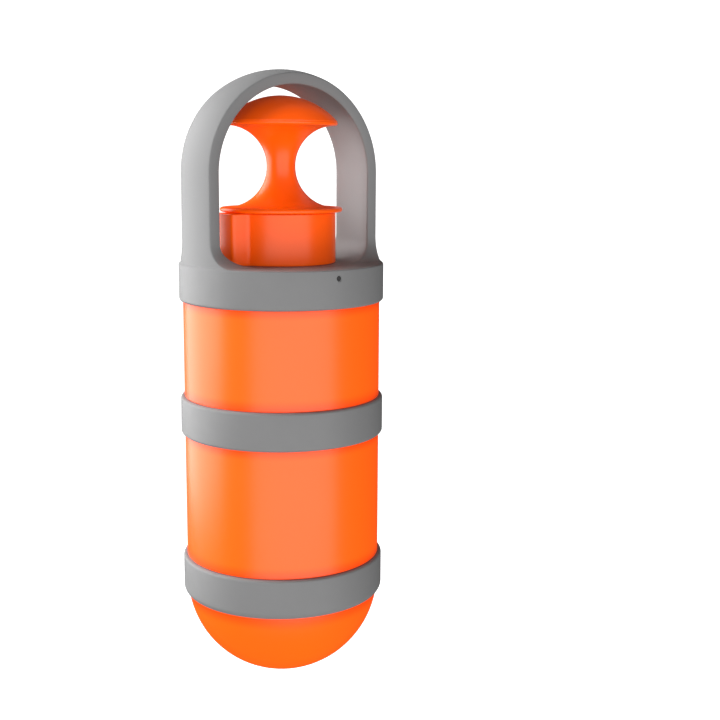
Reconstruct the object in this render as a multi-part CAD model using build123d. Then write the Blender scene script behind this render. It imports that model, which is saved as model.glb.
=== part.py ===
"""Firefighter's hand lantern: a hanging, glowing light with a pull-and-twist knob under its arch.

Frame: millimetres, origin at the bottom of the dome, +Z up the lantern's axis to the top of the arch,
the arch in the XZ plane, the status light on the front (-Y).
"""

import os
from math import cos, radians, sin, sqrt

from build123d import *

# ---------------------------------------------------------------- outside, from the dome up
band_r = 41.0  # all three grey bands
band_proud = 1.5  # how far the bands stand out of the orange shells
band_wall = 3.0
band_edge = 1.2  # rounding of the bands' outer edges
bezel_lip = 2.6  # height of the bezel's rounded lower edge
bezel_z = (34.3, 50.2)  # lower band, which carries the dome
coupling_z = (101.1, 116.3)  # middle band, which joins the two shells
ring_z = (155.0, 170.0)  # ring of the yoke; its top is the deck
shell_wall = 2.5
spigot_wall = 2.95  # of the shells' ends inside the bands
spigot_reach = 8.0  # how far a shell's end reaches into the bezel
dome_wall = 2.5
coupling_web = 1.4

# ---------------------------------------------------------------- yoke
arch_r = 40.3
arch_wall = 4.4
arch_centre_z = 205.2
strap_half_width = 11.5
strap_flare = 9.0  # fillets beside the strap's foot
leg_fillet = 8.5  # fillet inside each leg, down to the deck
leg_step = 0.7  # low step round the foot of the arch
deck_edge = 0.5
deck_thickness = 2.2
ring_step = 8.6  # depth of the socket for the upper shell
rim_wall = 5.0  # of the ring above that socket
status_drop = 3.2  # status light below the deck
status_hole_r = 1.0
pipe_recess = 0.5  # of the light pipe in its hole

# ---------------------------------------------------------------- knob and switch drum
cap_rim_r = 22.45
cap_rim_z = 223.9
cap_dome_r = 30.0
cap_dome_centre_z = 205.5
cap_hollow_r = 14.0
neck_r = 5.7
upper_horn_r = 15.9
lower_horn_r = 16.0
flange_r = 24.4
flange_thickness = 1.7
flange_z = 190.2
spool_top_z = 223.0
pull_travel = 4.0
knob_gap = 0.3  # between the flange and the drum's roof
drum_r = 21.7
drum_bore_r = 18.0
drum_roof = 2.4
drum_spigot_r = 19.6
drum_spigot_drop = 6.0  # how far the drum's spigot reaches below the deck
lug_reach = 27.2
lug_half_width = 8.2
lug_edge = 1.8
lug_root = 2.0  # fillets between the lug and the drum
shaft_r = 3.0
shaft_top_z = 211.8
carriage_r = 10.0
carriage_height = 10.0
key_half_width = 1.5
key_reach = 11.5
guide_r = 12.2
ball_r = 1.5

# ---------------------------------------------------------------- inside the shells
core_r = 27.0
core_wall = 2.0
core_flange_thickness = 3.0
cell_r = 9.2
cell_length = 65.0
cell_base_z = 78.0
cell_pitch_r = 11.6
cell_count = 3
board_thickness = 1.6
switch_board_r = 27.6
core_post_pitch_r = 31.0
core_post_count = 4
board_post_pitch_r = 25.0
board_post_count = 3
strip_count = 6
strip_width = 7.0
leds_per_strip = 4
sleeve_wall = 1.2
spacer_height = 4.0
lens_r = 29.5
lens_thickness = 2.5
bayonet_count = 3
bayonet_turn = 25.0
bayonet_pin_reach = 1.65  # of a pin into its spigot
bayonet_slot_depth = 1.85
bayonet_pin_half = 3.1  # half the angle that a pin covers
bayonet_slot_half = 3.6

# Screws, as shank radius, head radius and head height, and the things they hold
guide_screw = (1.0, 1.9, 1.8)
knob_screw_sizes = (1.5, 2.8, 2.5)
board_screw = (0.8, 1.6, 1.4)
core_screw = (1.5, 2.4, 2.4)
lens_screw = (1.0, 1.8, 1.8)
guide_screw_count = 3
guide_screw_pitch_r = 15.2
guide_boss_r = 2.3
lens_screw_count = 3
lens_screw_first = 30.0
main_post_count = 3
main_post_pitch_r = 20.0
board_hole_r = 0.9
screw_pocket_r = 3.6  # over the knob's screw

# Small parts
bushing_r = 5.0
bushing_flange = 3.0
clip_r = 5.2
clip_thickness = 1.0
clip_groove = 0.6
lug_end_wall = 2.2
detent_play = 0.1
carriage_magnet_x = 7.5
magnet_r = 2.0
magnet_height = 2.0
shaft_magnet_height = 2.3
shoulder_inset = 3.5  # from a shell's shoulder to where its bore widens
strip_thickness = 1.2
glow_led_half = 1.5
glow_led_height = 0.8
rod_r = 1.5
led_board_r = 10.0
button_r = 3.0
button_height = 1.4
sink_slot_count = 12

# ---------------------------------------------------------------- clearances
fit = 0.05  # round fits, running or pushed together
slack = 0.2  # loose fits
seal_section_r = 0.8
turn_gap = 0.1  # between the turning bezel and the shell above it

# ---------------------------------------------------------------- worked out from the above
shell_r = band_r - band_proud
shell_bore_r = shell_r - shell_wall
band_bore_r = band_r - band_wall
spigot_r = band_bore_r - fit
spigot_bore_r = spigot_r - spigot_wall
arch_bore_r = arch_r - arch_wall
deck_z = ring_z[1]
deck_under_z = deck_z - deck_thickness
shell_top_z = ring_z[0] + ring_step
status_z = deck_z - status_drop
rim_bore_r = band_r - rim_wall
lower_shell_z = (bezel_z[1] - spigot_reach, (coupling_z[0] + coupling_z[1]) / 2 - coupling_web / 2)
upper_shell_z = (lower_shell_z[1] + coupling_web, shell_top_z)
lip_z = (bezel_z[1] - 1.2, bezel_z[1] + 1.3)
lip_bore_r = core_r + 4.0
drum_top_z = flange_z - knob_gap
drum_roof_z = drum_top_z - drum_roof
drum_foot_z = deck_z - drum_spigot_drop
carriage_z = deck_z
carriage_top_z = carriage_z + carriage_height
detent_z = carriage_z + carriage_height / 2
bushing_foot_z = carriage_top_z + pull_travel + clip_thickness + 3 * fit
guide_floor_z = carriage_z - 2.0
magnet_z = drum_foot_z + 0.2
board_top_z = magnet_z - 3.2
board_z = (board_top_z - board_thickness, board_top_z)
core_flange_z = (board_z[0] - 4.4 - core_flange_thickness, board_z[0] - 4.4)
core_top_z = core_flange_z[0] + core_flange_thickness / 2
core_bore_r = core_r - core_wall
sleeve_r = spigot_bore_r - slack
spacer_z = (lower_shell_z[1] - 1.5, lower_shell_z[1] - 1.5 + spacer_height)
main_board_z = (core_top_z - 4.5, core_top_z - 4.5 + board_thickness)
contact_z = (main_board_z[0] - 3.4, main_board_z[0] - 3.4 + board_thickness)
cell_top_z = cell_base_z + cell_length
sink_z = (62.0, cell_base_z - board_thickness)
lens_ring_z = (38.0, 45.5)
lens_z = (lens_ring_z[0] + 1.0, lens_ring_z[0] + 1.0 + lens_thickness)
reflector_flange_z = (lens_z[1], lens_z[1] + 1.5)
core_foot_z = reflector_flange_z[1]
clamp_r = spigot_bore_r - 1.0
lens_screw_pitch_r = clamp_r - 1.8
strip_flat = core_r - 0.6
strip_zones = (((lip_z[1] + 4), (spacer_z[0] - 6)), ((spacer_z[1] + 5), (core_flange_z[0] - 3)))
seal_places = (bezel_z[1] - 1.4, coupling_z[0] + 3.4, coupling_z[1] - 3.4, ring_z[0] + 4.5)
bayonet_z = (lower_shell_z[0] + 2.2, lower_shell_z[0] + 4.2)
bayonet_angles = [360.0 * i / bayonet_count for i in range(bayonet_count)]
dome_rim_z = lower_shell_z[0] - 1.0
guide_flange_z = (detent_z + 3.5, detent_z + 6.0)
drum_seal_r = (drum_spigot_r + drum_r) / 2 - 0.1
knob_screw_tip_z = shaft_top_z - 8.0
knob_screw_seat_z = shaft_top_z + 1.7
clip_places = (carriage_z - clip_thickness - fit, carriage_top_z + fit)


# ---------------------------------------------------------------- small helpers
def disc(radius, low, high, x=0.0, y=0.0):
    """An upright cylinder between two heights."""
    return Pos(x, y, (low + high) / 2) * Cylinder(radius, high - low)


def ring(outer_r, inner_r, low, high):
    """A plain tube about the axis."""
    return disc(outer_r, low, high) - disc(inner_r, low - 1, high + 1)


def block(x_span, y_span, z_span):
    """A box given by its three spans."""
    spans = (x_span, y_span, z_span)
    centre = [(low + high) / 2 for low, high in spans]
    return Pos(*centre) * Box(*[high - low for low, high in spans])


def line(start, end):
    """A straight edge of a section, given as (r, z) points."""
    return Edge.make_line((start[0], 0, start[1]), (end[0], 0, end[1]))


def arc(start, middle, end):
    """A round edge of a section through three (r, z) points."""
    return Edge.make_three_point_arc(*[(r, 0, z) for r, z in (start, middle, end)])


def corner(start, centre, end):
    """A round edge from start to end about a centre, all (r, z) points."""
    radius = sqrt((start[0] - centre[0]) ** 2 + (start[1] - centre[1]) ** 2)
    out = (start[0] + end[0] - 2 * centre[0], start[1] + end[1] - 2 * centre[1])
    scale = radius / sqrt(out[0] ** 2 + out[1] ** 2)
    return arc(start, (centre[0] + out[0] * scale, centre[1] + out[1] * scale), end)


def closed(*points):
    """Straight edges through the given (r, z) points and back to the first."""
    return [line(a, b) for a, b in zip(points, points[1:] + points[:1])]


def turned(edges, degrees=360.0, start=0.0):
    """The solid of revolution of a closed section, whole or a sector."""
    return Rot(0, 0, start) * revolve(make_face(Wire(edges)), Axis.Z, degrees)


def sector(outer_r, inner_r, low, high, start, end):
    """A part of a tube between two angles."""
    section = closed((inner_r, low), (outer_r, low), (outer_r, high), (inner_r, high))
    return turned(section, end - start, start)


def around(count, pitch_r, first_deg=0.0):
    """Evenly spaced (x, y) places on a circle."""
    angles = [radians(first_deg + 360.0 * i / count) for i in range(count)]
    return [(pitch_r * cos(angle), pitch_r * sin(angle)) for angle in angles]


def spun(shape, count, first_deg=0.0):
    """Copies of a shape evenly spaced about the axis."""
    return [Rot(0, 0, first_deg + 360.0 * i / count) * shape for i in range(count)]


def seal(ring_r, z, section_r=seal_section_r):
    return Pos(0, 0, z) * Torus(ring_r, section_r)


def screw(sizes, seat_z, tip_z, x, y):
    """A socket screw standing on seat_z, its head on the side away from its tip."""
    shank_r, head_r, head_height = sizes
    up = 1 if tip_z > seat_z else -1
    head_z = seat_z - up * head_height
    socket_z = seat_z - up * head_height * 0.4
    shank = disc(shank_r, min(seat_z, tip_z), max(seat_z, tip_z), x, y)
    head = disc(head_r, min(seat_z, head_z), max(seat_z, head_z), x, y)
    return shank + head - disc(head_r / 2, min(socket_z, head_z), max(socket_z, head_z), x, y)


def coil(coil_r, wire_r, length, turns):
    """A coil spring standing on z = 0."""
    rise = length - 2 * wire_r
    path = Helix(pitch=rise / turns, height=rise, radius=coil_r)
    section = Plane(origin=path @ 0, z_dir=path % 0) * Circle(wire_r)
    return Pos(0, 0, wire_r) * sweep(section, path=path)


# ---------------------------------------------------------------- yoke: arch, ring and deck
def strap_slice():
    """The slice that cuts the arch to a strap, flared out to the ring at its foot."""
    foot_z = ring_z[0]
    top_z = arch_centre_z + arch_r + 1
    base_z = deck_z + leg_step
    flare_z = base_z + strap_flare
    wide = strap_half_width + strap_flare
    bend = strap_flare * (1 - sqrt(0.5))
    edges = [Edge.make_line((0, -wide, foot_z), (0, wide, foot_z))]
    edges += [Edge.make_line((0, side * wide, foot_z), (0, side * wide, base_z)) for side in (1, -1)]
    for side in (1, -1):
        start, end = (0, side * wide, base_z), (0, side * strap_half_width, flare_z)
        middle = (0, side * (strap_half_width + bend), base_z + bend)
        edges.append(Edge.make_three_point_arc(start, middle, end))
        edges.append(Edge.make_line(end, (0, side * strap_half_width, top_z)))
    edges.append(Edge.make_line((0, -strap_half_width, top_z), (0, strap_half_width, top_z)))
    face = make_face(Wire(Wire.combine(edges)[0].edges()))
    return extrude(face, band_r + 1, dir=(1, 0, 0), both=True)


def strap():
    """The arch: a slice of a capsule-shaped shell, rounded into the deck inside each leg."""
    floor_r = arch_bore_r - leg_fillet
    section = [
        line((floor_r, deck_under_z + deck_edge), (floor_r, deck_z)),
        corner((floor_r, deck_z), (floor_r, deck_z + leg_fillet), (arch_bore_r, deck_z + leg_fillet)),
        line((arch_bore_r, deck_z + leg_fillet), (arch_bore_r, arch_centre_z)),
        corner((arch_bore_r, arch_centre_z), (0, arch_centre_z), (0, arch_centre_z + arch_bore_r)),
        line((0, arch_centre_z + arch_bore_r), (0, arch_centre_z + arch_r)),
        corner((0, arch_centre_z + arch_r), (0, arch_centre_z), (arch_r, arch_centre_z)),
        line((arch_r, arch_centre_z), (arch_r, deck_under_z + deck_edge)),
        line((arch_r, deck_under_z + deck_edge), (floor_r, deck_under_z + deck_edge)),
    ]
    return turned(section) & strap_slice()


def yoke_ring():
    low, high = ring_z
    outer = band_r
    opening = drum_spigot_r + fit
    section = [
        line((band_bore_r, low), (outer - band_edge, low)),
        corner((outer - band_edge, low), (outer - band_edge, low + band_edge), (outer, low + band_edge)),
        line((outer, low + band_edge), (outer, high - deck_edge)),
        corner((outer, high - deck_edge), (outer - deck_edge, high - deck_edge), (outer - deck_edge, high)),
        line((outer - deck_edge, high), (opening, high)),
        line((opening, high), (opening, deck_under_z)),
        line((opening, deck_under_z), (rim_bore_r, deck_under_z)),
        line((rim_bore_r, deck_under_z), (rim_bore_r, shell_top_z)),
        line((rim_bore_r, shell_top_z), (band_bore_r, shell_top_z)),
        line((band_bore_r, shell_top_z), (band_bore_r, low)),
    ]
    return turned(section)


def handle_yoke():
    step = turned(
        closed(
            (arch_bore_r, deck_z - deck_edge),
            (band_r - deck_edge, deck_z - deck_edge),
            (band_r - deck_edge, deck_z + leg_step / 2),
            (arch_r, deck_z + leg_step),
            (arch_bore_r, deck_z + leg_step),
        )
    )
    yoke = yoke_ring() + strap() + (step & strap_slice())
    for x, y in around(core_post_count, core_post_pitch_r, 45):
        yoke += disc(3.0, core_flange_z[1], deck_under_z + deck_edge, x, y)
        yoke -= disc(1.5 + fit, core_flange_z[1] - 1, deck_under_z - 3, x, y)
    for x, y in around(board_post_count, board_post_pitch_r, 90):
        yoke += disc(2.2, board_top_z, deck_under_z + deck_edge, x, y)
        yoke -= disc(0.8 + fit, board_top_z - 1, deck_under_z - 1, x, y)
    hole = Pos(0, -band_r, status_z) * Rot(90, 0, 0) * Cylinder(status_hole_r, 2 * rim_wall + 2)
    mouth = Pos(0, -band_r + 0.1, status_z) * Rot(90, 0, 0) * Cone(status_hole_r, status_hole_r + 0.5, 0.5)
    return yoke - hole - mouth


def status_light_pipe():
    """Smoked light pipe from the front of the ring down to the lamp on the switch board."""
    pipe_r = status_hole_r - fit
    front, turn_in, rear = -band_r + pipe_recess, -board_post_pitch_r - 3.0, -board_post_pitch_r - 1.0
    foot_z = board_top_z + 1.2
    bend = turn_in - rear
    path = Wire(
        [
            Edge.make_line((0, front, status_z), (0, turn_in, status_z)),
            Edge.make_three_point_arc(
                (0, turn_in, status_z),
                (0, rear + bend * (1 - sqrt(0.5)), status_z + bend * (1 - sqrt(0.5))),
                (0, rear, status_z + bend),
            ),
            Edge.make_line((0, rear, status_z + bend), (0, rear, foot_z)),
        ]
    )
    section = Plane(origin=(0, front, status_z), z_dir=(0, 1, 0)) * Circle(pipe_r)
    return sweep(section, path=path)


# ---------------------------------------------------------------- shells, bands and dome
def seal_groove(z):
    """Groove round a spigot for an O-ring."""
    half = seal_section_r + 0.15
    return ring(spigot_r + 1, spigot_r - 2 * seal_section_r - 0.35, z - half, z + half)


def shell_o_rings():
    return [seal(spigot_r - seal_section_r - 0.3, z) for z in seal_places]


def shell_body(span, shoulders):
    """A glowing shell: a tube between two shoulders, with a thinner spigot beyond each."""
    low, high = shoulders
    body = disc(spigot_r, *span) + disc(shell_r, low, high)
    body -= disc(spigot_bore_r, span[0] - 1, span[1] + 1)
    return body - disc(shell_bore_r, low + shoulder_inset, high - shoulder_inset)


def bayonet_slots():
    """L-shaped slots for the bezel's pins: in from below, then across to the locked place."""
    depth_r = spigot_r - bayonet_slot_depth
    half = bayonet_slot_half
    low, high = bayonet_z[0] - slack, bayonet_z[1] + slack
    cuts = []
    for start in bayonet_angles:
        cuts.append(sector(spigot_r + 1, depth_r, low, high, start - half, start + bayonet_turn + half))
        entry = start + bayonet_turn
        cuts.append(sector(spigot_r + 1, depth_r, lower_shell_z[0] - 1, high, entry - half, entry + half))
    return cuts


def lower_shell():
    body = shell_body(lower_shell_z, (bezel_z[1] + turn_gap, coupling_z[0]))
    body += ring(spigot_bore_r + fit, lip_bore_r, *lip_z)
    for z in seal_places[:2]:
        body -= seal_groove(z)
    for cut in bayonet_slots():
        body -= cut
    return body


def upper_shell():
    body = shell_body(upper_shell_z, (coupling_z[1], ring_z[0]))
    for z in seal_places[2:]:
        body -= seal_groove(z)
    return body


def band_section(low, high, low_edge, high_edge):
    """Section of a band with rounded outer edges; low_edge is how far in and up the lower one goes."""
    inward, upward = low_edge
    lower_r = (inward**2 + upward**2) / (2 * inward)
    centre = (band_r - high_edge, high - high_edge)
    return [
        line((band_bore_r, low), (band_r - inward, low)),
        corner((band_r - inward, low), (band_r - lower_r, low + upward), (band_r, low + upward)),
        line((band_r, low + upward), (band_r, high - high_edge)),
        corner((band_r, high - high_edge), centre, (band_r - high_edge, high)),
        line((band_r - high_edge, high), (band_bore_r, high)),
        line((band_bore_r, high), (band_bore_r, low)),
    ]


def middle_band():
    low, high = coupling_z
    body = turned(band_section(low, high, (band_edge, band_edge), band_edge))
    return body + ring(band_bore_r + fit, spigot_bore_r, lower_shell_z[1], upper_shell_z[0])


def lower_band():
    """Bezel: holds the dome, and its pins lock it to the lower shell."""
    low, high = bezel_z
    body = turned(band_section(low, high, (band_proud, bezel_lip), band_edge))
    body += ring(band_bore_r + fit, spigot_bore_r + 1.6, dome_rim_z, lower_shell_z[0] - 0.3)
    half, tip_r = bayonet_pin_half, spigot_r - bayonet_pin_reach
    for start in bayonet_angles:
        body += sector(band_bore_r + fit, tip_r, *bayonet_z, start - half, start + half)
    return body


def dome_lens():
    centre_z = shell_r
    inner_r = shell_r - dome_wall
    skirt_bore_r = spigot_r - dome_wall
    edge_r = sqrt(shell_r**2 - (bezel_z[0] - centre_z) ** 2)
    inner_z = centre_z - sqrt(inner_r**2 - skirt_bore_r**2)
    diagonal = sqrt(0.5)
    section = [
        arc((0, 0), (shell_r * diagonal, centre_z - shell_r * diagonal), (edge_r, bezel_z[0])),
        line((edge_r, bezel_z[0]), (spigot_r, bezel_z[0])),
        line((spigot_r, bezel_z[0]), (spigot_r, dome_rim_z)),
        line((spigot_r, dome_rim_z), (skirt_bore_r, dome_rim_z)),
        line((skirt_bore_r, dome_rim_z), (skirt_bore_r, inner_z)),
        arc((skirt_bore_r, inner_z), (inner_r * diagonal, centre_z - inner_r * diagonal), (0, dome_wall)),
        line((0, dome_wall), (0, 0)),
    ]
    return turned(section)


# ---------------------------------------------------------------- switch drum and its guide
def switch_drum():
    body = disc(drum_r, deck_z, drum_top_z)
    lug = block((-lug_reach, -drum_r / 2), (-lug_half_width, lug_half_width), (deck_z, drum_top_z))
    lug = fillet(lug.edges().filter_by(Axis.Z).group_by(Axis.X)[0], lug_edge)
    body += lug
    roots = body.edges().filter_by(Axis.Z).filter_by_position(Axis.X, -drum_r, -drum_r / 2)
    body = fillet(roots.filter_by(lambda edge: abs(abs(edge.center().Y) - lug_half_width) < fit), lug_root)
    body = fillet(body.faces().sort_by(Axis.Z)[0].edges(), 0.5)
    body = chamfer(body.faces().sort_by(Axis.Z)[-1].edges(), 0.2)
    body += disc(drum_spigot_r, drum_foot_z, deck_z + 1)
    body -= disc(drum_bore_r, drum_foot_z - 1, drum_roof_z)
    boss = Pos(-(drum_bore_r + guide_r + 0.7) / 2, 0, detent_z) * Rot(0, 90, 0)
    body += boss * Cylinder(2.9, drum_bore_r - guide_r + 0.3)
    for x, y in around(guide_screw_count, guide_screw_pitch_r):
        body += disc(guide_boss_r, guide_flange_z[1], drum_roof_z + 0.5, x, y)
        body -= disc(guide_screw[0] + fit, guide_flange_z[1] - 1, drum_roof_z - 1, x, y)
    body -= disc(bushing_r + fit, drum_roof_z - 1, drum_top_z + 1)
    spring_end = lug_reach - lug_end_wall
    body -= Pos(-spring_end / 2 - 5, 0, detent_z) * Rot(0, 90, 0) * Cylinder(ball_r + 0.3, spring_end - 10)
    return body - ring(drum_seal_r + 0.85, drum_seal_r - 0.85, deck_z - 1, deck_z + 1.2)


def drum_o_ring():
    return seal(drum_seal_r, deck_z + 0.55, 0.5)


def drum_nut():
    """Ring nut under the deck, with wrench notches."""
    nut_r = board_post_pitch_r - 2.5
    body = ring(nut_r, drum_spigot_r + fit, deck_under_z - 3.4, deck_under_z)
    notch = block((nut_r - 1.2, nut_r + 1), (-1.5, 1.5), (deck_under_z - 4, deck_under_z - 1.5))
    for cut in spun(notch, 4, 45):
        body -= cut
    return body


def shaft_bushing():
    body = disc(bushing_r, bushing_foot_z, drum_top_z)
    body += disc(bushing_r + bushing_flange, bushing_foot_z, drum_roof_z)
    body -= disc(shaft_r + fit, bushing_foot_z - 1, drum_top_z + 1)
    return body - disc(shaft_r + 1.2, drum_top_z - 1.7, drum_top_z - 0.7)


def shaft_seal():
    return seal(shaft_r + 0.7, drum_top_z - 1.2, 0.45)


def carriage_guide():
    """Fixed sleeve in which the carriage slides; two slots keep the carriage from turning."""
    top_z = carriage_top_z + pull_travel
    body = ring(guide_r, carriage_r + fit, guide_floor_z, top_z)
    body += ring(guide_r - 1, 6.0, guide_floor_z, carriage_z - fit)
    flange = ring(drum_bore_r - 0.3, guide_r - 1, *guide_flange_z)
    flange -= block((-drum_bore_r, -guide_r), (-3.3, 3.3), guide_flange_z)
    for x, y in around(guide_screw_count, guide_screw_pitch_r):
        flange -= disc(guide_screw[0] + fit, guide_flange_z[0] - 1, guide_flange_z[1] + 1, x, y)
    body += flange
    half, reach = key_half_width + fit, key_reach + 2 * fit
    body -= block((-half, half), (-reach, reach), (carriage_z - fit, top_z + 1))
    return body - Pos(-guide_r, 0, detent_z) * Rot(0, 90, 0) * Cylinder(ball_r + fit, 6)


def guide_screws():
    places = around(guide_screw_count, guide_screw_pitch_r)
    return [screw(guide_screw, guide_flange_z[0], drum_roof_z - 2.0, x, y) for x, y in places]


def detent_ball():
    return Pos(-carriage_r - detent_play - ball_r, 0, detent_z) * Sphere(ball_r)


def detent_spring():
    start = carriage_r + detent_play + 2 * ball_r
    length = lug_reach - lug_end_wall - start
    return Pos(-start, 0, detent_z) * Rot(0, -90, 0) * coil(ball_r - 0.25, 0.22, length, 7)


# ---------------------------------------------------------------- sliding carriage
def plunger_carriage():
    """Slides with the knob but can't turn; two notches give the out and in places."""
    body = disc(carriage_r, carriage_z, carriage_top_z)
    half = key_half_width
    body += block((-half, half), (-key_reach, key_reach), (carriage_z, carriage_top_z))
    body -= disc(shaft_r + fit, carriage_z - 1, carriage_top_z + 1)
    for z in (detent_z, detent_z - pull_travel):
        body -= Pos(-carriage_r - 0.8, 0, z) * Sphere(ball_r + 0.1)
    return body - disc(magnet_r, carriage_z - 1, carriage_z + magnet_height + 0.1, carriage_magnet_x)


def carriage_magnet():
    return disc(magnet_r - fit, carriage_z, carriage_z + magnet_height, carriage_magnet_x)


# ---------------------------------------------------------------- knob
def knob_shaft():
    foot_z = magnet_z + shaft_magnet_height
    body = disc(shaft_r, foot_z, shaft_top_z)
    for low in clip_places:
        body -= ring(shaft_r + 1, shaft_r - clip_groove, low, low + clip_thickness)
    return body - disc(knob_screw_sizes[0] + fit, knob_screw_tip_z - 1, shaft_top_z + 1)


def shaft_clips():
    """Open retaining clips above and below the carriage."""
    clips = []
    for low in clip_places:
        clip = ring(clip_r, shaft_r - clip_groove + fit, low + 0.02, low + clip_thickness - 0.02)
        clips.append(clip - block((0, 6), (-1.9, 1.9), (low - 1, low + 2)))
    return clips


def shaft_magnet():
    return disc(shaft_r - fit, magnet_z, magnet_z + shaft_magnet_height)


def knob_spool():
    """Waisted hand grip: a flange, a lower horn, the neck and an upper horn, as one turning."""
    low, high = flange_z, flange_z + flange_thickness
    lower_centre = (neck_r + lower_horn_r, high + lower_horn_r)
    upper_centre = (neck_r + upper_horn_r, cap_rim_z - upper_horn_r)
    top_r = upper_centre[0] - sqrt(upper_horn_r**2 - (spool_top_z - upper_centre[1]) ** 2)
    mid_angle = radians(135)
    middle = (
        upper_centre[0] + upper_horn_r * cos(mid_angle),
        upper_centre[1] + upper_horn_r * sin(mid_angle),
    )
    half = flange_thickness / 2
    section = [
        line((0, low), (flange_r - half, low)),
        arc((flange_r - half, low), (flange_r, low + half), (flange_r - half, high)),
        line((flange_r - half, high), (lower_centre[0], high)),
        corner((lower_centre[0], high), lower_centre, (neck_r, lower_centre[1])),
        line((neck_r, lower_centre[1]), (neck_r, upper_centre[1])),
        arc((neck_r, upper_centre[1]), middle, (top_r, spool_top_z)),
        line((top_r, spool_top_z), (0, spool_top_z)),
        line((0, spool_top_z), (0, low)),
    ]
    body = turned(section)
    body -= disc(shaft_r + fit, low - 1, shaft_top_z + 0.2)
    body -= disc(knob_screw_sizes[0] + 2 * fit, low, knob_screw_seat_z)
    return body - disc(screw_pocket_r, knob_screw_seat_z, spool_top_z + 1)


def knob_screw():
    return screw(knob_screw_sizes, knob_screw_seat_z, knob_screw_tip_z, 0, 0)


def knob_cap():
    """Domed cap on the spool, hollow, with a plug into the spool's screw pocket."""
    horn_centre = (neck_r + upper_horn_r, cap_rim_z - upper_horn_r)
    start_r = horn_centre[0] - sqrt(upper_horn_r**2 - (spool_top_z - horn_centre[1]) ** 2)
    lean = radians(99)
    middle = (horn_centre[0] + upper_horn_r * cos(lean), horn_centre[1] + upper_horn_r * sin(lean))
    rim_in_r = cap_rim_r - 0.85
    shoulder_r = cap_rim_r - 0.6
    shoulder_z = cap_dome_centre_z + sqrt(cap_dome_r**2 - shoulder_r**2)
    tilt = radians(68)
    crown = (cap_dome_r * cos(tilt), cap_dome_centre_z + cap_dome_r * sin(tilt))
    apex = (0, cap_dome_centre_z + cap_dome_r)
    section = [
        line((0, spool_top_z), (start_r, spool_top_z)),
        arc((start_r, spool_top_z), middle, (rim_in_r, cap_rim_z)),
        arc((rim_in_r, cap_rim_z), (cap_rim_r, cap_rim_z + 0.95), (shoulder_r, shoulder_z)),
        arc((shoulder_r, shoulder_z), crown, apex),
        line(apex, (0, spool_top_z)),
    ]
    body = turned(section)
    body -= ring(cap_hollow_r, screw_pocket_r - fit, spool_top_z - 1, cap_rim_z + 5)
    return body + disc(screw_pocket_r - fit, knob_screw_seat_z + 3.5, spool_top_z + 1)


# ---------------------------------------------------------------- boards
def drilled_disc(radius, span, places, hole_r):
    body = disc(radius, *span)
    for x, y in places:
        body -= disc(hole_r, span[0] - 1, span[1] + 1, x, y)
    return body


def switch_board():
    places = around(board_post_count, board_post_pitch_r, 90)
    return drilled_disc(switch_board_r, board_z, places, board_hole_r)


def on_board(x, y, width, depth, height, base_z):
    """A square-bodied component standing on a board."""
    return block((x - width / 2, x + width / 2), (y - depth / 2, y + depth / 2), (base_z, base_z + height))


def switch_board_parts():
    """Pull sensor, angle sensor, status lamp, controller and connector."""
    sizes = [
        (carriage_magnet_x, 0, 3.0, 3.0, 0.9),
        (0, 0, 4.0, 4.0, 1.0),
        (0, -board_post_pitch_r - 1.0, 2.0, 1.6, 0.9),
        (-9.0, -9.0, 7.0, 7.0, 1.0),
        (-9.0, 9.0, 8.0, 4.0, 2.6),
    ]
    return [on_board(*size, board_top_z) for size in sizes]


def main_board_places():
    return around(main_post_count, main_post_pitch_r)


def main_board():
    return drilled_disc(core_bore_r - slack, main_board_z, main_board_places(), board_hole_r)


def main_board_parts():
    """Coil, capacitor, controller and connector of the lamp driver."""
    top = main_board_z[1]
    return [
        disc(4.5, top, top + 4.0, -6.0, 5.0),
        disc(2.5, top, top + 3.4, -7.0, -6.0),
        on_board(3.0, -7.5, 6.0, 6.0, 1.0, top),
        on_board(3.0, 4.0, 5.0, 3.6, 2.4, top),
    ]


def board_screws():
    """Six alike: three in the switch board and three in the main board."""
    places = around(board_post_count, board_post_pitch_r, 90)
    screws = [screw(board_screw, board_z[0], board_z[0] + 5, x, y) for x, y in places]
    low = main_board_z[0]
    return screws + [screw(board_screw, low, low + 4, x, y) for x, y in main_board_places()]


def harness_wires():
    return [disc(0.6, main_board_z[1], board_z[0], 9.0 + 1.6 * i, -3.0) for i in range(3)]


# ---------------------------------------------------------------- core: tube, flange, spacer and glow lights
def core_flange():
    """Top plate of the core, screwed to the deck's posts."""
    places = around(core_post_count, core_post_pitch_r, 45)
    body = drilled_disc(sleeve_r, core_flange_z, places, core_screw[0] + 2 * fit)
    body -= disc(14.0, core_flange_z[0] - 1, core_flange_z[1] + 1)
    body -= disc(core_r + fit, core_flange_z[0] - 1, core_top_z)
    for x, y in main_board_places():
        body += disc(2.2, main_board_z[1], core_top_z + 0.5, x, y)
        body -= disc(board_screw[0] + fit, main_board_z[1] - 1, core_top_z, x, y)
    return body


def core_screws():
    places = around(core_post_count, core_post_pitch_r, 45)
    return [screw(core_screw, core_flange_z[0], core_flange_z[1] + 8, x, y) for x, y in places]


def core_tube():
    """Aluminium tube that carries the cells, with flats for the light strips."""
    body = ring(core_r, core_bore_r, core_foot_z, core_top_z)
    for low, high in strip_zones:
        flat = block((strip_flat, core_r + 1), (-strip_width / 2, strip_width / 2), (low, high))
        for cut in spun(flat, strip_count):
            body -= cut
    return body


def core_spacer():
    return ring(sleeve_r, core_r + fit, *spacer_z)


def diffuser_sleeves():
    """Frosted sleeves between the light strips and the shells."""
    spans = ((lip_z[1], spacer_z[0]), (spacer_z[1], core_flange_z[0]))
    return [ring(sleeve_r, sleeve_r - sleeve_wall, *span) for span in spans]


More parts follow.
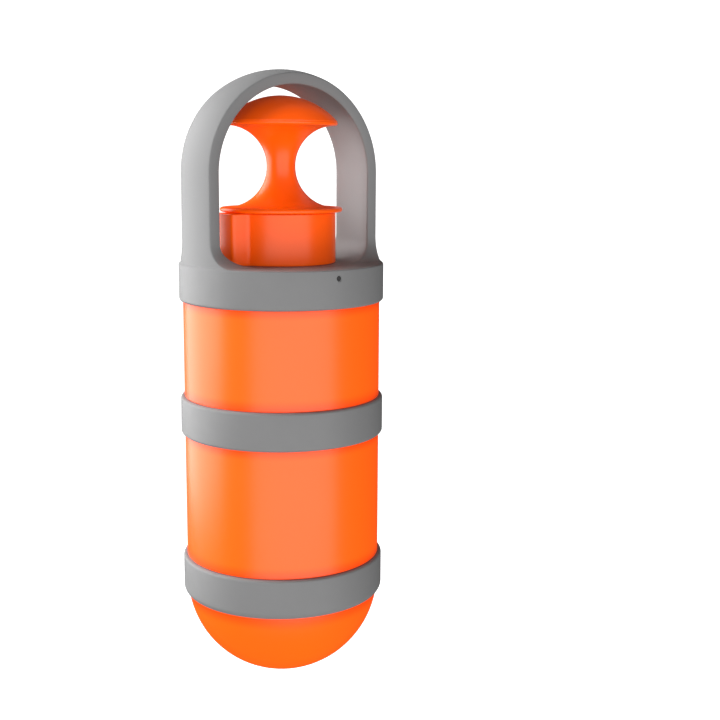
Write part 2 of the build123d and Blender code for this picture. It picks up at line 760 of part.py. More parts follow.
def glow_strips():
    strips = []
    for low, high in strip_zones:
        half = strip_width / 2 - fit
        strip = block((strip_flat, strip_flat + strip_thickness), (-half, half), (low + fit, high - fit))
        strips += spun(strip, strip_count)
    return strips


def glow_leds():
    face, half = strip_flat + strip_thickness, glow_led_half
    lights = []
    for low, high in strip_zones:
        step = (high - low) / leds_per_strip
        for i in range(leds_per_strip):
            z = low + step * (i + 0.5)
            light = block((face, face + glow_led_height), (-half, half), (z - half, z + half))
            lights += spun(light, strip_count)
    return lights


def lens_screw_places():
    return around(lens_screw_count, lens_screw_pitch_r, lens_screw_first)


def clamp_nut():
    """Nut on the foot of the core; it clamps the shells together against the yoke."""
    body = ring(clamp_r, core_r + fit, lens_ring_z[1], lip_z[0])
    for x, y in lens_screw_places():
        body -= disc(lens_screw[0] + fit, lens_ring_z[1] - 1, lens_ring_z[1] + 2.8, x, y)
    return body


# ---------------------------------------------------------------- cells
def cell_places():
    return around(cell_count, cell_pitch_r, 30)


def cell_holder():
    body = disc(core_bore_r - slack, cell_base_z, contact_z[0])
    for x, y in cell_places():
        body -= disc(cell_r + 0.15, cell_base_z - 1, contact_z[0] + 1, x, y)
    return body - disc(rod_r + 0.1, cell_base_z - 1, contact_z[0] + 1)


def battery_cells():
    """Cells with their raised contact upwards."""
    top = cell_top_z - button_height
    return [
        disc(cell_r, cell_base_z, top, x, y) + disc(button_r, top, cell_top_z, x, y)
        for x, y in cell_places()
    ]


def contact_board(low):
    body = disc(core_bore_r - slack, low, low + board_thickness)
    return body - disc(rod_r + fit, low - 1, low + board_thickness + 1)


def upper_contact_board():
    return contact_board(contact_z[0])


def lower_contact_board():
    return contact_board(sink_z[1])


def contact_springs():
    spring = coil(2.2, 0.3, contact_z[0] - cell_top_z, 3)
    return [Pos(x, y, cell_top_z) * spring for x, y in cell_places()]


def bus_rod():
    """Conductor from the upper contacts down to the lamp."""
    return disc(rod_r, sink_z[0], contact_z[1])


# ---------------------------------------------------------------- lamp
def heat_sink():
    body = disc(core_bore_r - fit, *sink_z) - disc(rod_r + 1, sink_z[0] - 1, sink_z[1] + 1)
    slot = block((10.0, 22.0), (-0.8, 0.8), (sink_z[0] + 3, sink_z[1] - 3))
    for cut in spun(slot, sink_slot_count):
        body -= cut
    return body


def led_board():
    return disc(led_board_r, sink_z[0] - board_thickness, sink_z[0])


def led_emitter():
    top = sink_z[0] - board_thickness
    base = block((-2.5, 2.5), (-2.5, 2.5), (top - 1.0, top))
    return base + (Pos(0, 0, top - 1.0) * Sphere(2.0) & disc(3, top - 4, top - 0.5))


def reflector():
    """Paraboloid about the emitter, with a flange at its mouth and a collar up to the heat sink."""
    focus_z = sink_z[0] - board_thickness - 2.2
    mouth_r, mouth_z = core_bore_r - 1.6, core_foot_z
    depth = focus_z - mouth_z
    focal = (sqrt(depth**2 + mouth_r**2) - depth) / 2
    vertex_z = focus_z + focal
    small_r = led_board_r + 0.6
    small_z = vertex_z - small_r**2 / (4 * focal)
    wall = 1.0
    pull = ((mouth_r + small_r) / 2, vertex_z - mouth_r * small_r / (4 * focal))
    inside = Edge.make_bezier((mouth_r, 0, mouth_z), (pull[0], 0, pull[1]), (small_r, 0, small_z))
    outside = Edge.make_bezier(
        (small_r + wall, 0, small_z), (pull[0] + wall, 0, pull[1]), (mouth_r + wall, 0, mouth_z)
    )
    flange_foot = reflector_flange_z[0]
    section = [
        inside,
        line((small_r, small_z), (small_r, sink_z[0])),
        line((small_r, sink_z[0]), (small_r + wall, sink_z[0])),
        line((small_r + wall, sink_z[0]), (small_r + wall, small_z)),
        outside,
        line((mouth_r + wall, mouth_z), (lens_r, mouth_z)),
        line((lens_r, mouth_z), (lens_r, flange_foot)),
        line((lens_r, flange_foot), (mouth_r, flange_foot)),
        line((mouth_r, flange_foot), (mouth_r, mouth_z)),
    ]
    return turned(section)


def beam_lens():
    return disc(lens_r, *lens_z)


def lens_ring():
    """Holds the lens and the reflector against the foot of the core."""
    low, high = lens_ring_z
    body = ring(clamp_r + 0.5, lens_r + slack, low, high) + ring(lens_r + 1, lens_r - 2, low, lens_z[0])
    for x, y in lens_screw_places():
        body -= disc(lens_screw[0] + fit, low - 1, high + 1, x, y)
        body -= disc(lens_screw[1] + fit, low - 1, low + 2.0, x, y)
    return body


def lens_ring_screws():
    low, high = lens_ring_z[0] + 2.0, lens_ring_z[1] + 2.5
    return [screw(lens_screw, low, high, x, y) for x, y in lens_screw_places()]


# ---------------------------------------------------------------- every sub-part
makers = (
    handle_yoke,
    status_light_pipe,
    upper_shell,
    lower_shell,
    middle_band,
    lower_band,
    dome_lens,
    shell_o_rings,
    switch_drum,
    drum_o_ring,
    drum_nut,
    shaft_bushing,
    shaft_seal,
    carriage_guide,
    guide_screws,
    detent_ball,
    detent_spring,
    plunger_carriage,
    carriage_magnet,
    knob_shaft,
    shaft_clips,
    shaft_magnet,
    knob_spool,
    knob_screw,
    knob_cap,
    switch_board,
    switch_board_parts,
    main_board,
    main_board_parts,
    board_screws,
    harness_wires,
    core_flange,
    core_screws,
    core_tube,
    core_spacer,
    diffuser_sleeves,
    glow_strips,
    glow_leds,
    clamp_nut,
    cell_holder,
    battery_cells,
    upper_contact_board,
    lower_contact_board,
    contact_springs,
    bus_rod,
    heat_sink,
    led_board,
    led_emitter,
    reflector,
    beam_lens,
    lens_ring,
    lens_ring_screws,
)

os.makedirs("parts", exist_ok=True)
for maker in makers:
    made = maker()
    shape = Compound(children=made) if isinstance(made, list) else made
    export_step(shape, f"parts/{maker.__name__}.step")
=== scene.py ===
"""Looks of a firefighter's hand lantern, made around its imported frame.

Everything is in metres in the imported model's frame: the lantern hangs upright with its axis on Z, its
arch in the XZ plane and its status light towards -Y.
"""

import logging
import math
from collections.abc import Iterable, Sequence
from dataclasses import dataclass, field
from enum import Enum
from typing import Any

import bmesh
import bpy
from mathutils import Matrix, Vector


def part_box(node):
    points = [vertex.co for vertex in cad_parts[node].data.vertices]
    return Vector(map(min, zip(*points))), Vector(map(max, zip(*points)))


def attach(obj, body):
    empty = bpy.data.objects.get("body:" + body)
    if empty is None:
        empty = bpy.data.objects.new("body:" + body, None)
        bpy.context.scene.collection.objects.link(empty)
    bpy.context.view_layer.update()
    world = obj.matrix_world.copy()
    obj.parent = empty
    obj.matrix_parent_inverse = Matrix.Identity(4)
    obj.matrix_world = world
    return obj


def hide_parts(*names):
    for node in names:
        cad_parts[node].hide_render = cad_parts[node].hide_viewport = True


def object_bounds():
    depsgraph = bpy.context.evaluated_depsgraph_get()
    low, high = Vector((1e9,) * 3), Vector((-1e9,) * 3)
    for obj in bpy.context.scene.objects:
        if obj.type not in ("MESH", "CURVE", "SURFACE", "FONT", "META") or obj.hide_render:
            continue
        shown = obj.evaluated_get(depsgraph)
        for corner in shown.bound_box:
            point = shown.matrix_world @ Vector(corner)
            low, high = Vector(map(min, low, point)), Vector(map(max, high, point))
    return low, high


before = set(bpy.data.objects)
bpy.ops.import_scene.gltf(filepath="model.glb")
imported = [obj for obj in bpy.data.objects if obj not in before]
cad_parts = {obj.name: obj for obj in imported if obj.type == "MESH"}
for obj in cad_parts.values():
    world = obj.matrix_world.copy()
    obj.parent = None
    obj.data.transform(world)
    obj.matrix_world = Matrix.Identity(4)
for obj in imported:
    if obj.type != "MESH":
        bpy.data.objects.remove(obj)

log = logging.getLogger("lantern")
cad_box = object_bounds()

MM = 0.001
TURN_STEPS = 192
ROUND_STEPS = 8
SHARP_ANGLE = math.radians(35)
SECTOR_STEPS = 24
CORNER_STEPS = 6
BORE_STEPS = 48

RING_HEIGHT = 15.0 * MM
ARCH_RADIUS = 40.3 * MM
CHIP_GAP_BELOW = 6 * MM
CHIP_GAP_ABOVE = 5 * MM

SENSOR = 36.0
CAMERA_LENS = 61.2
CAMERA_TURN = math.radians(-32.05)
CAMERA_PITCH = math.radians(9.73)
CAMERA_YAW = math.radians(3.70)
CAMERA_ROLL = math.radians(0.34)
CAMERA_AWAY = 12.022
CAMERA_HEIGHT = 0.21445

Point = tuple[float, float]
Colour = tuple[float, float, float]


class Body(Enum):
    """The rigid bodies that pieces ride on."""

    HOUSING = "housing"
    HEAD = "head"
    CARRIAGE = "carriage"
    KNOB = "knob"


class Noise(Enum):
    """Kinds of surface noise."""

    SOFT = "ShaderNodeTexNoise"
    CELLS = "ShaderNodeTexVoronoi"


# ---------------------------------------------------------------- shader maths
class Sock:
    """A shader socket that takes part in Python sums."""

    def __init__(self, graph: "Graph", socket: bpy.types.NodeSocket) -> None:
        """Keeps the socket and the graph it belongs to."""
        self.graph = graph
        self.socket = socket

    def maths(self, operation: str, first: Any, second: Any = 0.0) -> "Sock":
        """Adds one Math node.

        Args:
            operation: The node's operation.
            first: A socket or a number.
            second: A socket or a number.

        Returns:
            The node's result.
        """
        return self.graph.node("ShaderNodeMath", {"operation": operation}, {0: first, 1: second})

    def __add__(self, other: Any) -> "Sock":
        """Sum."""
        return self.maths("ADD", self, other)

    __radd__ = __add__

    def __sub__(self, other: Any) -> "Sock":
        """Difference."""
        return self.maths("SUBTRACT", self, other)

    def __rsub__(self, other: Any) -> "Sock":
        """Difference, the other way round."""
        return self.maths("SUBTRACT", other, self)

    def __mul__(self, other: Any) -> "Sock":
        """Product."""
        return self.maths("MULTIPLY", self, other)

    __rmul__ = __mul__

    def __truediv__(self, other: Any) -> "Sock":
        """Quotient."""
        return self.maths("DIVIDE", self, other)

    def __abs__(self) -> "Sock":
        """Size without sign."""
        return self.maths("ABSOLUTE", self)

    def root(self) -> "Sock":
        """Square root."""
        return self.maths("SQRT", self)

    def ease(self, low: float, high: float) -> "Sock":
        """Runs smoothly from 0 at low to 1 at high; low may be the larger.

        Args:
            low: The value that gives 0.
            high: The value that gives 1.

        Returns:
            The eased value.
        """
        flip = low > high
        first, last = (high, low) if flip else (low, high)
        settings = {"interpolation_type": "SMOOTHSTEP"}
        eased = self.graph.node("ShaderNodeMapRange", settings, {0: self, 1: first, 2: last})
        return 1 - eased if flip else eased


class Graph:
    """The node graph of one material, with its shader ready."""

    def __init__(self, name: str) -> None:
        """Makes the material and finds its shader.

        Args:
            name: The material's name.
        """
        self.material = bpy.data.materials.new(name)
        self.material.use_nodes = True
        self.tree = self.material.node_tree
        self.shader = self.tree.nodes["Principled BSDF"]

    def node(self, kind: str, settings: dict | None = None, values: dict | None = None, out: int = 0) -> Sock:
        """Adds any node.

        Args:
            kind: The node's type.
            settings: Its properties, set first.
            values: Its sockets by name or place, as links or plain values.
            out: Which output to hand back.

        Returns:
            The chosen output.
        """
        made = self.tree.nodes.new(kind)
        for key, value in (settings or {}).items():
            setattr(made, key, value)
        for key, value in (values or {}).items():
            self.feed(made.inputs[key], value)
        return Sock(self, made.outputs[out])

    def feed(self, socket: bpy.types.NodeSocket, value: Any) -> None:
        """Links a socket, or sets its plain value.

        Args:
            socket: The socket to feed.
            value: A Sock or a plain value.
        """
        if isinstance(value, Sock):
            self.tree.links.new(value.socket, socket)
        else:
            socket.default_value = value

    def shade(self, **values: Any) -> None:
        """Feeds the shader's sockets, named with _ for a space.

        Args:
            **values: Values or links, by the sockets' names.
        """
        for key, value in values.items():
            if isinstance(value, tuple) and len(value) == 3:
                value = (*value, 1.0)
            self.feed(self.shader.inputs[key.replace("_", " ")], value)

    def place(self) -> Sock:
        """The position on the object, in metres."""
        return self.node("ShaderNodeTexCoord", out=3)

    def parts(self) -> tuple[Sock, Sock, Sock]:
        """The position's x, y and z."""
        split = self.node("ShaderNodeSeparateXYZ", None, {0: self.place()}).socket.node
        return tuple(Sock(self, output) for output in split.outputs)

    def radius(self) -> Sock:
        """The distance from the lantern's axis."""
        x, y, _ = self.parts()
        return (x * x + y * y).root()

    def noise(self, size: float, detail: float = 3.0, kind: Noise = Noise.SOFT) -> Sock:
        """Noise with features of about the given size in metres, from 0 to 1.

        Args:
            size: Size of a feature in metres.
            detail: How much finer noise it holds.
            kind: Which noise.

        Returns:
            The noise.
        """
        values = {"Vector": self.place(), "Scale": 1.0 / size}
        if kind is Noise.SOFT:
            values["Detail"] = detail
        return self.node(kind.value, None, values)

    def stretched(self, size: Sequence[float], detail: float = 2.0) -> Sock:
        """Noise whose features have a size of their own along each axis.

        Args:
            size: Size of a feature along each axis.
            detail: How much finer noise it holds.

        Returns:
            The noise.
        """
        scaled = self.node(
            "ShaderNodeVectorMath",
            {"operation": "MULTIPLY"},
            {0: self.place(), 1: tuple(1.0 / s for s in size)},
        )
        return self.node("ShaderNodeTexNoise", None, {"Vector": scaled, "Scale": 1.0, "Detail": detail})

    def mix(self, share: Any, first: Any, second: Any) -> Sock:
        """A colour between two colours.

        Args:
            share: How much of the second colour.
            first: The colour at 0.
            second: The colour at 1.

        Returns:
            The mixed colour.
        """
        made = self.tree.nodes.new("ShaderNodeMix")
        made.data_type = "RGBA"
        for place, value in ((0, share), (6, first), (7, second)):
            plain = (*value, 1.0) if isinstance(value, tuple) and len(value) == 3 else value
            self.feed(made.inputs[place], plain)
        return Sock(self, made.outputs[2])

    def bump(self, height: Sock, depth: float, strength: float = 1.0) -> Sock:
        """A normal bent by a height from 0 to 1, of the given depth in metres."""
        return self.node("ShaderNodeBump", None, {"Height": height, "Distance": depth, "Strength": strength})


# ---------------------------------------------------------------- finishes
@dataclass(frozen=True)
class Finish:
    """A named finish; each kind of finish dresses its own shader."""

    name: str

    def dress(self, graph: Graph) -> None:
        """Sets the shader up."""
        raise NotImplementedError

    def material(self) -> bpy.types.Material:
        """The finish's material, made once.

        Returns:
            The material.
        """
        found = bpy.data.materials.get(self.name)
        if found is None:
            graph = Graph(self.name)
            self.dress(graph)
            found = graph.material
        return found


@dataclass(frozen=True)
class FineMoulding(Finish):
    """Matte grey moulding with a spark-eroded grain, faint flow marks and handled edges."""

    colour: Colour = (0.165, 0.165, 0.166)
    worn: Colour = (0.205, 0.205, 0.205)
    rough: float = 0.5
    edge_radius: float = 41.0 * MM

    def dress(self, graph: Graph) -> None:
        """Grain in the bump, cloudiness in the colour, polish where hands rub.

        Args:
            graph: The material's graph.
        """
        grain = graph.noise(0.35 * MM, 4.0)
        cloud = graph.noise(22 * MM, 2.0)
        scuff = graph.stretched((9 * MM, 9 * MM, 0.8 * MM), 4.0).ease(0.62, 0.78)
        rubbed = graph.radius().ease(self.edge_radius - 0.5 * MM, self.edge_radius) * graph.noise(5 * MM)
        dust = graph.noise(1.3 * MM, 5.0).ease(0.66, 0.8)
        share = cloud * 0.22 + rubbed * 0.16 + scuff * 0.1 + dust * 0.08
        rough = self.rough + 0.1 * grain - 0.1 * rubbed + 0.08 * dust - 0.05 * scuff
        graph.shade(
            Base_Color=graph.mix(share, self.colour, self.worn),
            Roughness=rough,
            Normal=graph.bump(grain + 0.3 * scuff, 0.02 * MM, 0.6),
            Specular_IOR_Level=0.5,
        )


@dataclass(frozen=True)
class PaintedGlowShell(Finish):
    """Frosted orange shell with a painted glow, and painted shade where it goes into a band."""

    # Band heights, each with how far the painted shade reaches from it.
    ends: tuple[Point, ...] = ()
    colour: Colour = (1.0, 0.095, 0.001)
    # Base colour in the painted shade at the bands.
    deep: Colour = (0.80, 0.045, 0.0)
    # Emission colours: a painted glow, dimmer in the painted shade at the bands.
    glow: Colour = (1.0, 0.100, 0.0)
    painted_glow_in_shade: Colour = (0.75, 0.035, 0.0)
    # Strength of the painted glow.
    strength: float = 0.42
    rough: float = 0.28

    def dress(self, graph: Graph) -> None:
        """Painted glow that dims towards the bands as painted shade, with a fine frosted skin.

        Args:
            graph: The material's graph.
        """
        _, _, z = graph.parts()
        # Painted shade: darker and redder within each reach of a band.
        shade: Any = 0.0
        for end, reach in self.ends:
            shade = shade + (z - end).__abs__().ease(reach, 0.0)
        frost = graph.noise(0.5 * MM, 3.0)
        cloud = graph.noise(30 * MM, 1.0)
        wipe = graph.stretched((14 * MM, 14 * MM, 1.1 * MM), 3.0).ease(0.6, 0.8)
        share = shade * 0.75 + cloud * 0.08
        # The emission is a painted glow; the shell is no lamp.
        graph.shade(
            Base_Color=graph.mix(share, self.colour, self.deep),
            Emission_Color=graph.mix(share, self.glow, self.painted_glow_in_shade),
            Emission_Strength=self.strength,
            Roughness=self.rough + 0.05 * frost + 0.05 * cloud - 0.04 * wipe,
            Normal=graph.bump(frost, 0.012 * MM, 0.5),
            Specular_IOR_Level=0.6,
        )


@dataclass(frozen=True)
class SatinMoulding(Finish):
    """Deep orange satin moulding with soft flow clouds, rub marks and a faint painted glow."""

    colour: Colour = (0.98, 0.10, 0.001)
    deep: Colour = (0.83, 0.068, 0.001)
    rough: float = 0.27
    # Strength of the painted glow.
    strength: float = 0.10

    def dress(self, graph: Graph) -> None:
        """Clouds in the colour, rubs in the gloss, a very fine skin in the bump and a faint painted glow in
        the emission.

        Args:
            graph: The material's graph.
        """
        skin = graph.noise(0.4 * MM, 3.0)
        cloud = graph.noise(16 * MM, 2.0)
        rub = graph.stretched((6 * MM, 6 * MM, 0.5 * MM), 4.0).ease(0.6, 0.8)
        graph.shade(
            Base_Color=graph.mix(cloud * 0.3 + rub * 0.1, self.colour, self.deep),
            # Painted glow: the moulding emits its own colour, though it is no lamp.
            Emission_Color=self.colour,
            Emission_Strength=self.strength,
            Roughness=self.rough + 0.05 * skin + 0.06 * rub,
            Normal=graph.bump(skin, 0.01 * MM, 0.5),
            Specular_IOR_Level=0.45,
        )


@dataclass(frozen=True)
class Rubber(Finish):
    """Black seal rubber with a bloom of talc."""

    def dress(self, graph: Graph) -> None:
        """Dull black, dusted.

        Args:
            graph: The material's graph.
        """
        bloom = graph.noise(1.5 * MM, 5.0)
        colour = graph.mix(bloom.ease(0.5, 0.8) * 0.5, (0.018, 0.018, 0.019), (0.07, 0.07, 0.07))
        graph.shade(Base_Color=colour, Roughness=0.62 + 0.2 * bloom, Normal=graph.bump(bloom, 0.01 * MM))


@dataclass(frozen=True)
class TurnedMetal(Finish):
    """Metal with lathe marks round the axis and a little tarnish."""

    colour: Colour = (0.6, 0.6, 0.61)
    tarnish: Colour = (0.42, 0.41, 0.4)
    rough: float = 0.28
    pitch: float = 0.25 * MM

    def dress(self, graph: Graph) -> None:
        """Fine rings in the bump and gloss, clouds in the colour.

        Args:
            graph: The material's graph.
        """
        rings = graph.stretched((40 * MM, 40 * MM, self.pitch), 2.0)
        cloud = graph.noise(7 * MM, 4.0)
        graph.shade(
            Base_Color=graph.mix(cloud.ease(0.4, 0.75), self.colour, self.tarnish),
            Metallic=1.0,
            Roughness=self.rough + 0.14 * rings + 0.08 * cloud,
            Normal=graph.bump(rings, 0.006 * MM),
        )


@dataclass(frozen=True)
class PlainMoulding(Finish):
    """Hidden moulding: glass-filled, frosted, wrapped or coated, by its colours and gloss."""

    colour: Colour = (0.02, 0.02, 0.022)
    fleck: Colour = (0.05, 0.05, 0.052)
    rough: float = 0.5
    grain: float = 0.6 * MM
    shine: float = 0.5

    def dress(self, graph: Graph) -> None:
        """Flecks in the colour and a grain in the bump.

        Args:
            graph: The material's graph.
        """
        grain = graph.noise(self.grain, 4.0)
        fleck = graph.noise(self.grain * 4, 2.0)
        graph.shade(
            Base_Color=graph.mix(fleck.ease(0.45, 0.7), self.colour, self.fleck),
            Roughness=self.rough + 0.12 * grain,
            Normal=graph.bump(grain, 0.01 * MM),
            Specular_IOR_Level=self.shine,
        )


@dataclass(frozen=True)
class SolderMask(Finish):
    """Green solder mask with copper tracks showing through it."""

    def dress(self, graph: Graph) -> None:
        """Tracks from a coarse square cell pattern.

        Args:
            graph: The material's graph.
        """
        x, y, _ = graph.parts()
        pitch = 2.2 * MM
        across = abs((x / pitch).maths("FRACT", x / pitch) - 0.5).ease(0.1, 0.06)
        along = abs((y / pitch).maths("FRACT", y / pitch) - 0.5).ease(0.1, 0.06)
        choice = graph.noise(6 * MM, 0.0).ease(0.48, 0.52)
        track = across * choice + along * (1 - choice)
        graph.shade(
            Base_Color=graph.mix(track * 0.8, (0.008, 0.075, 0.03), (0.02, 0.16, 0.06)),
            Roughness=0.3 + 0.1 * graph.noise(3 * MM),
            Normal=graph.bump(track, 0.03 * MM),
        )


@dataclass(frozen=True)
class ClearPane(Finish):
    """Clear polished pane with a few wipe marks."""

    def dress(self, graph: Graph) -> None:
        """Glass that is a little hazy.

        Args:
            graph: The material's graph.
        """
        wipe = graph.stretched((12 * MM, 1.5 * MM, 1.5 * MM), 3.0).ease(0.6, 0.8)
        graph.shade(
            Base_Color=graph.mix(wipe, (0.96, 0.98, 0.98), (0.9, 0.92, 0.92)),
            Transmission_Weight=0.95,
            IOR=1.49,
            Roughness=0.03 + 0.08 * wipe,
        )


@dataclass(frozen=True)
class StudioPaper(Finish):
    """Pale floor and backdrop."""

    def dress(self, graph: Graph) -> None:
        """Nearly white paper with a faint tooth.

        Args:
            graph: The material's graph.
        """
        tooth = graph.noise(4 * MM, 3.0)
        graph.shade(
            Base_Color=graph.mix(tooth, (0.93, 0.93, 0.93), (0.96, 0.96, 0.96)),
            Roughness=0.9,
            Emission_Color=(1.0, 1.0, 1.0),
            Emission_Strength=0.8,
            Specular_IOR_Level=0.0,
        )


# ---------------------------------------------------------------- meshes
def arc_points(
    centre: Point, radius: float, start: float, end: float, steps: int = ROUND_STEPS
) -> list[Point]:
    """Points round an arc, ends included.

    Args:
        centre: The arc's centre.
        radius: Its radius.
        start: Its first angle, in degrees.
        end: Its last angle, in degrees.
        steps: How many stretches it is drawn with.

    Returns:
        The points in order.
    """
    angles = [math.radians(start + (end - start) * i / steps) for i in range(steps + 1)]
    return [(centre[0] + radius * math.cos(a), centre[1] + radius * math.sin(a)) for a in angles]


def rounded(corners: Sequence[tuple[float, float, float]]) -> list[Point]:
    """A closed outline with its corners rounded.

    Args:
        corners: Each corner's two coordinates and its rounding radius, 0 for a crisp one.

    Returns:
        The outline's points.
    """
    points: list[Point] = []
    count = len(corners)
    for i, (u, v, radius) in enumerate(corners):
        here = Vector((u, v))
        if radius <= 0:
            points.append((u, v))
            continue
        before = (Vector(corners[i - 1][:2]) - here).normalized()
        after = (Vector(corners[(i + 1) % count][:2]) - here).normalized()
        half = before.angle(after) / 2
        centre = here + (before + after).normalized() * (radius / math.sin(half))
        first = here + before * (radius / math.tan(half)) - centre
        last = here + after * (radius / math.tan(half)) - centre
        for step in range(ROUND_STEPS + 1):
            spot = centre + first.slerp(last, step / ROUND_STEPS) * radius
            points.append((spot.x, spot.y))
    return points


class Shape:
    """A mesh in the making."""

    def __init__(self) -> None:
        """Starts empty."""
        self.bm = bmesh.new()

    def grid(self, rows: Sequence[Sequence[Vector]], closed_rows: bool, closed_columns: bool) -> None:
        """Joins rows of points into a skin; points of a row that coincide become one.

        Args:
            rows: The rows, all of one length.
            closed_rows: Whether each row meets its own start.
            closed_columns: Whether the last row meets the first.
        """
        made = []
        for row in rows:
            if (Vector(row[0]) - Vector(row[len(row) // 2])).length < 1e-9:
                pole = self.bm.verts.new(row[0])
                made.append([pole] * len(row))
            else:
                made.append([self.bm.verts.new(spot) for spot in row])
        pairs = list(zip(made, made[1:]))
        if closed_columns:
            pairs.append((made[-1], made[0]))
        for low, high in pairs:
            count = len(low)
            for i in range(count if closed_rows else count - 1):
                j = (i + 1) % count
                ring = list(dict.fromkeys((low[i], low[j], high[j], high[i])))
                if len(ring) > 2:
                    self.bm.faces.new(ring)

    def cap(self, row: Sequence[Vector]) -> None:
        """Closes a row of points with one flat face."""
        self.bm.faces.new([self.bm.verts.new(spot) for spot in row])

    def turn(self, outline: Sequence[Point], steps: int = TURN_STEPS, around: Point = (0.0, 0.0)) -> "Shape":
        """Turns a closed (radius, height) outline about an upright axis.

        Args:
            outline: The closed outline.
            steps: How many flats the turning has.
            around: Where the axis stands.

        Returns:
            This shape.
        """
        rows = []
        for radius, height in outline:
            angles = [math.tau * i / steps for i in range(steps)]
            rows.append(
                [
                    Vector((around[0] + radius * math.cos(a), around[1] + radius * math.sin(a), height))
                    for a in angles
                ]
            )
        self.grid(rows, True, True)
        return self

    def sector(
        self, inner: float, outer: float, low: float, high: float, start: float, end: float
    ) -> "Shape":
        """Adds a block bounded by two radii, two heights and two angles in degrees.

        Args:
            inner: Its inner radius.
            outer: Its outer radius.
            low: Its lower height.
            high: Its upper height.
            start: Its first angle.
            end: Its last angle.

        Returns:
            The shape itself.
        """
        rows = []
        for i in range(SECTOR_STEPS + 1):
            angle = math.radians(start + (end - start) * i / SECTOR_STEPS)
            c, v = math.cos(angle), math.sin(angle)
            corners = ((inner, low), (outer, low), (outer, high), (inner, high))
            rows.append([Vector((radius * c, radius * v, height)) for radius, height in corners])
        self.grid(rows, True, False)
        self.cap(rows[0])
        self.cap(rows[-1])
        return self

    def stack(self, layers: Sequence[tuple[Sequence[Point], float]]) -> "Shape":
        """Stacks outlines of one count of points at rising heights, with flat ends.

        Args:
            layers: The outlines with their heights.

        Returns:
            The shape itself.
        """
        rows = [[Vector((x, y, z)) for x, y in outline] for outline, z in layers]
        self.grid(rows, True, False)
        self.cap(rows[0])
        self.cap(rows[-1])
        return self

    def mesh(self, name: str) -> bpy.types.Mesh:
        """Finishes the mesh: merged, closed, facing outwards and smooth up to its sharp edges.

        Args:
            name: The mesh's name.

        Returns:
            The finished mesh.
        """
        bmesh.ops.remove_doubles(self.bm, verts=self.bm.verts, dist=0.001 * MM)
        bmesh.ops.recalc_face_normals(self.bm, faces=self.bm.faces)
        made = bpy.data.meshes.new(name)
        self.bm.to_mesh(made)
        self.bm.free()
        return smooth(made)


def smooth(mesh: bpy.types.Mesh) -> bpy.types.Mesh:
    """Shades a mesh smooth, apart from its sharp edges.

    Args:
        mesh: The mesh to shade.

    Returns:
        The same mesh.
    """
    mesh.shade_smooth()
    mesh.set_sharp_from_angle(angle=SHARP_ANGLE)
    return mesh


def add(name: str, mesh: bpy.types.Mesh) -> bpy.types.Object:
    """Puts a mesh in the scene under a piece's name.

    Args:
        name: The piece's name.
        mesh: Its mesh.

    Returns:
        The new object.
    """
    piece = bpy.data.objects.new(name, mesh)
    bpy.context.scene.collection.objects.link(piece)
    return piece


def settled(piece: bpy.types.Object) -> bpy.types.Mesh:
    """A plain mesh of what a piece's modifiers give.

    Args:
        piece: The piece, with its modifiers.

    Returns:
        The plain mesh.
    """
    graph = bpy.context.evaluated_depsgraph_get()
    graph.update()
    return bpy.data.meshes.new_from_object(piece.evaluated_get(graph), depsgraph=graph)


def carved(body: bpy.types.Mesh, tool: bpy.types.Mesh, operation: str = "DIFFERENCE") -> bpy.types.Mesh:
    """Cuts one closed mesh from another, or joins them.

    Args:
        body: The mesh to keep.
        tool: The mesh to cut away or add.
        operation: The Boolean operation.

    Returns:
        The result as a new mesh.
    """
    first, second = add("carved_body", body), add("carving_tool", tool)
    boolean = first.modifiers.new("carve", "BOOLEAN")
    boolean.object, boolean.operation, boolean.solver = second, operation, "EXACT"
    made = settled(first)
    for spent in (first, second):
        bpy.data.objects.remove(spent)
    return smooth(made)


def rod(radius: float, start: Vector, end: Vector, steps: int = 48) -> bpy.types.Mesh:
    """A plain round bar between two points, for carving.

    Args:
        radius: The bar's radius.
        start: The middle of one end.
        end: The middle of the other.
        steps: Sides it is drawn with.

    Returns:
        The bar's mesh.
    """
    shape = Shape()
    bmesh.ops.create_cone(
        shape.bm, cap_ends=True, segments=steps, radius1=radius, radius2=radius, depth=(end - start).length
    )
    turn = (end - start).to_track_quat("Z", "Y").to_matrix().to_4x4()
    bmesh.ops.transform(shape.bm, matrix=Matrix.Translation((start + end) / 2) @ turn, verts=shape.bm.verts)
    return shape.mesh("rod")


def finish_piece(
    name: str, mesh: bpy.types.Mesh, finish: Finish, body: Body, nodes: Iterable[str]
) -> bpy.types.Object:
    """Makes a piece, dresses it and seats it on its body.

    Args:
        name: The piece's name.
        mesh: Its mesh, in place.
        finish: Its finish.
        body: The body it rides on.
        nodes: The CAD nodes that it stands for.

    Returns:
        The piece.
    """
    piece = add(name, mesh)
    mesh.materials.clear()
    mesh.materials.append(finish.material())
    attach(piece, body.value)
    if nodes:
        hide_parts(*nodes)
    log.info("%s: %d faces on %s", name, len(mesh.polygons), body.value)
    return piece


def span(node: str) -> tuple[float, float]:
    """A CAD node's lowest and highest height."""
    low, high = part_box(node)
    return low[2], high[2]


def reach(node: str) -> float:
    """A CAD node's largest distance from the axis, across the X axis."""
    low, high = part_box(node)
    return max(-low[1], high[1])


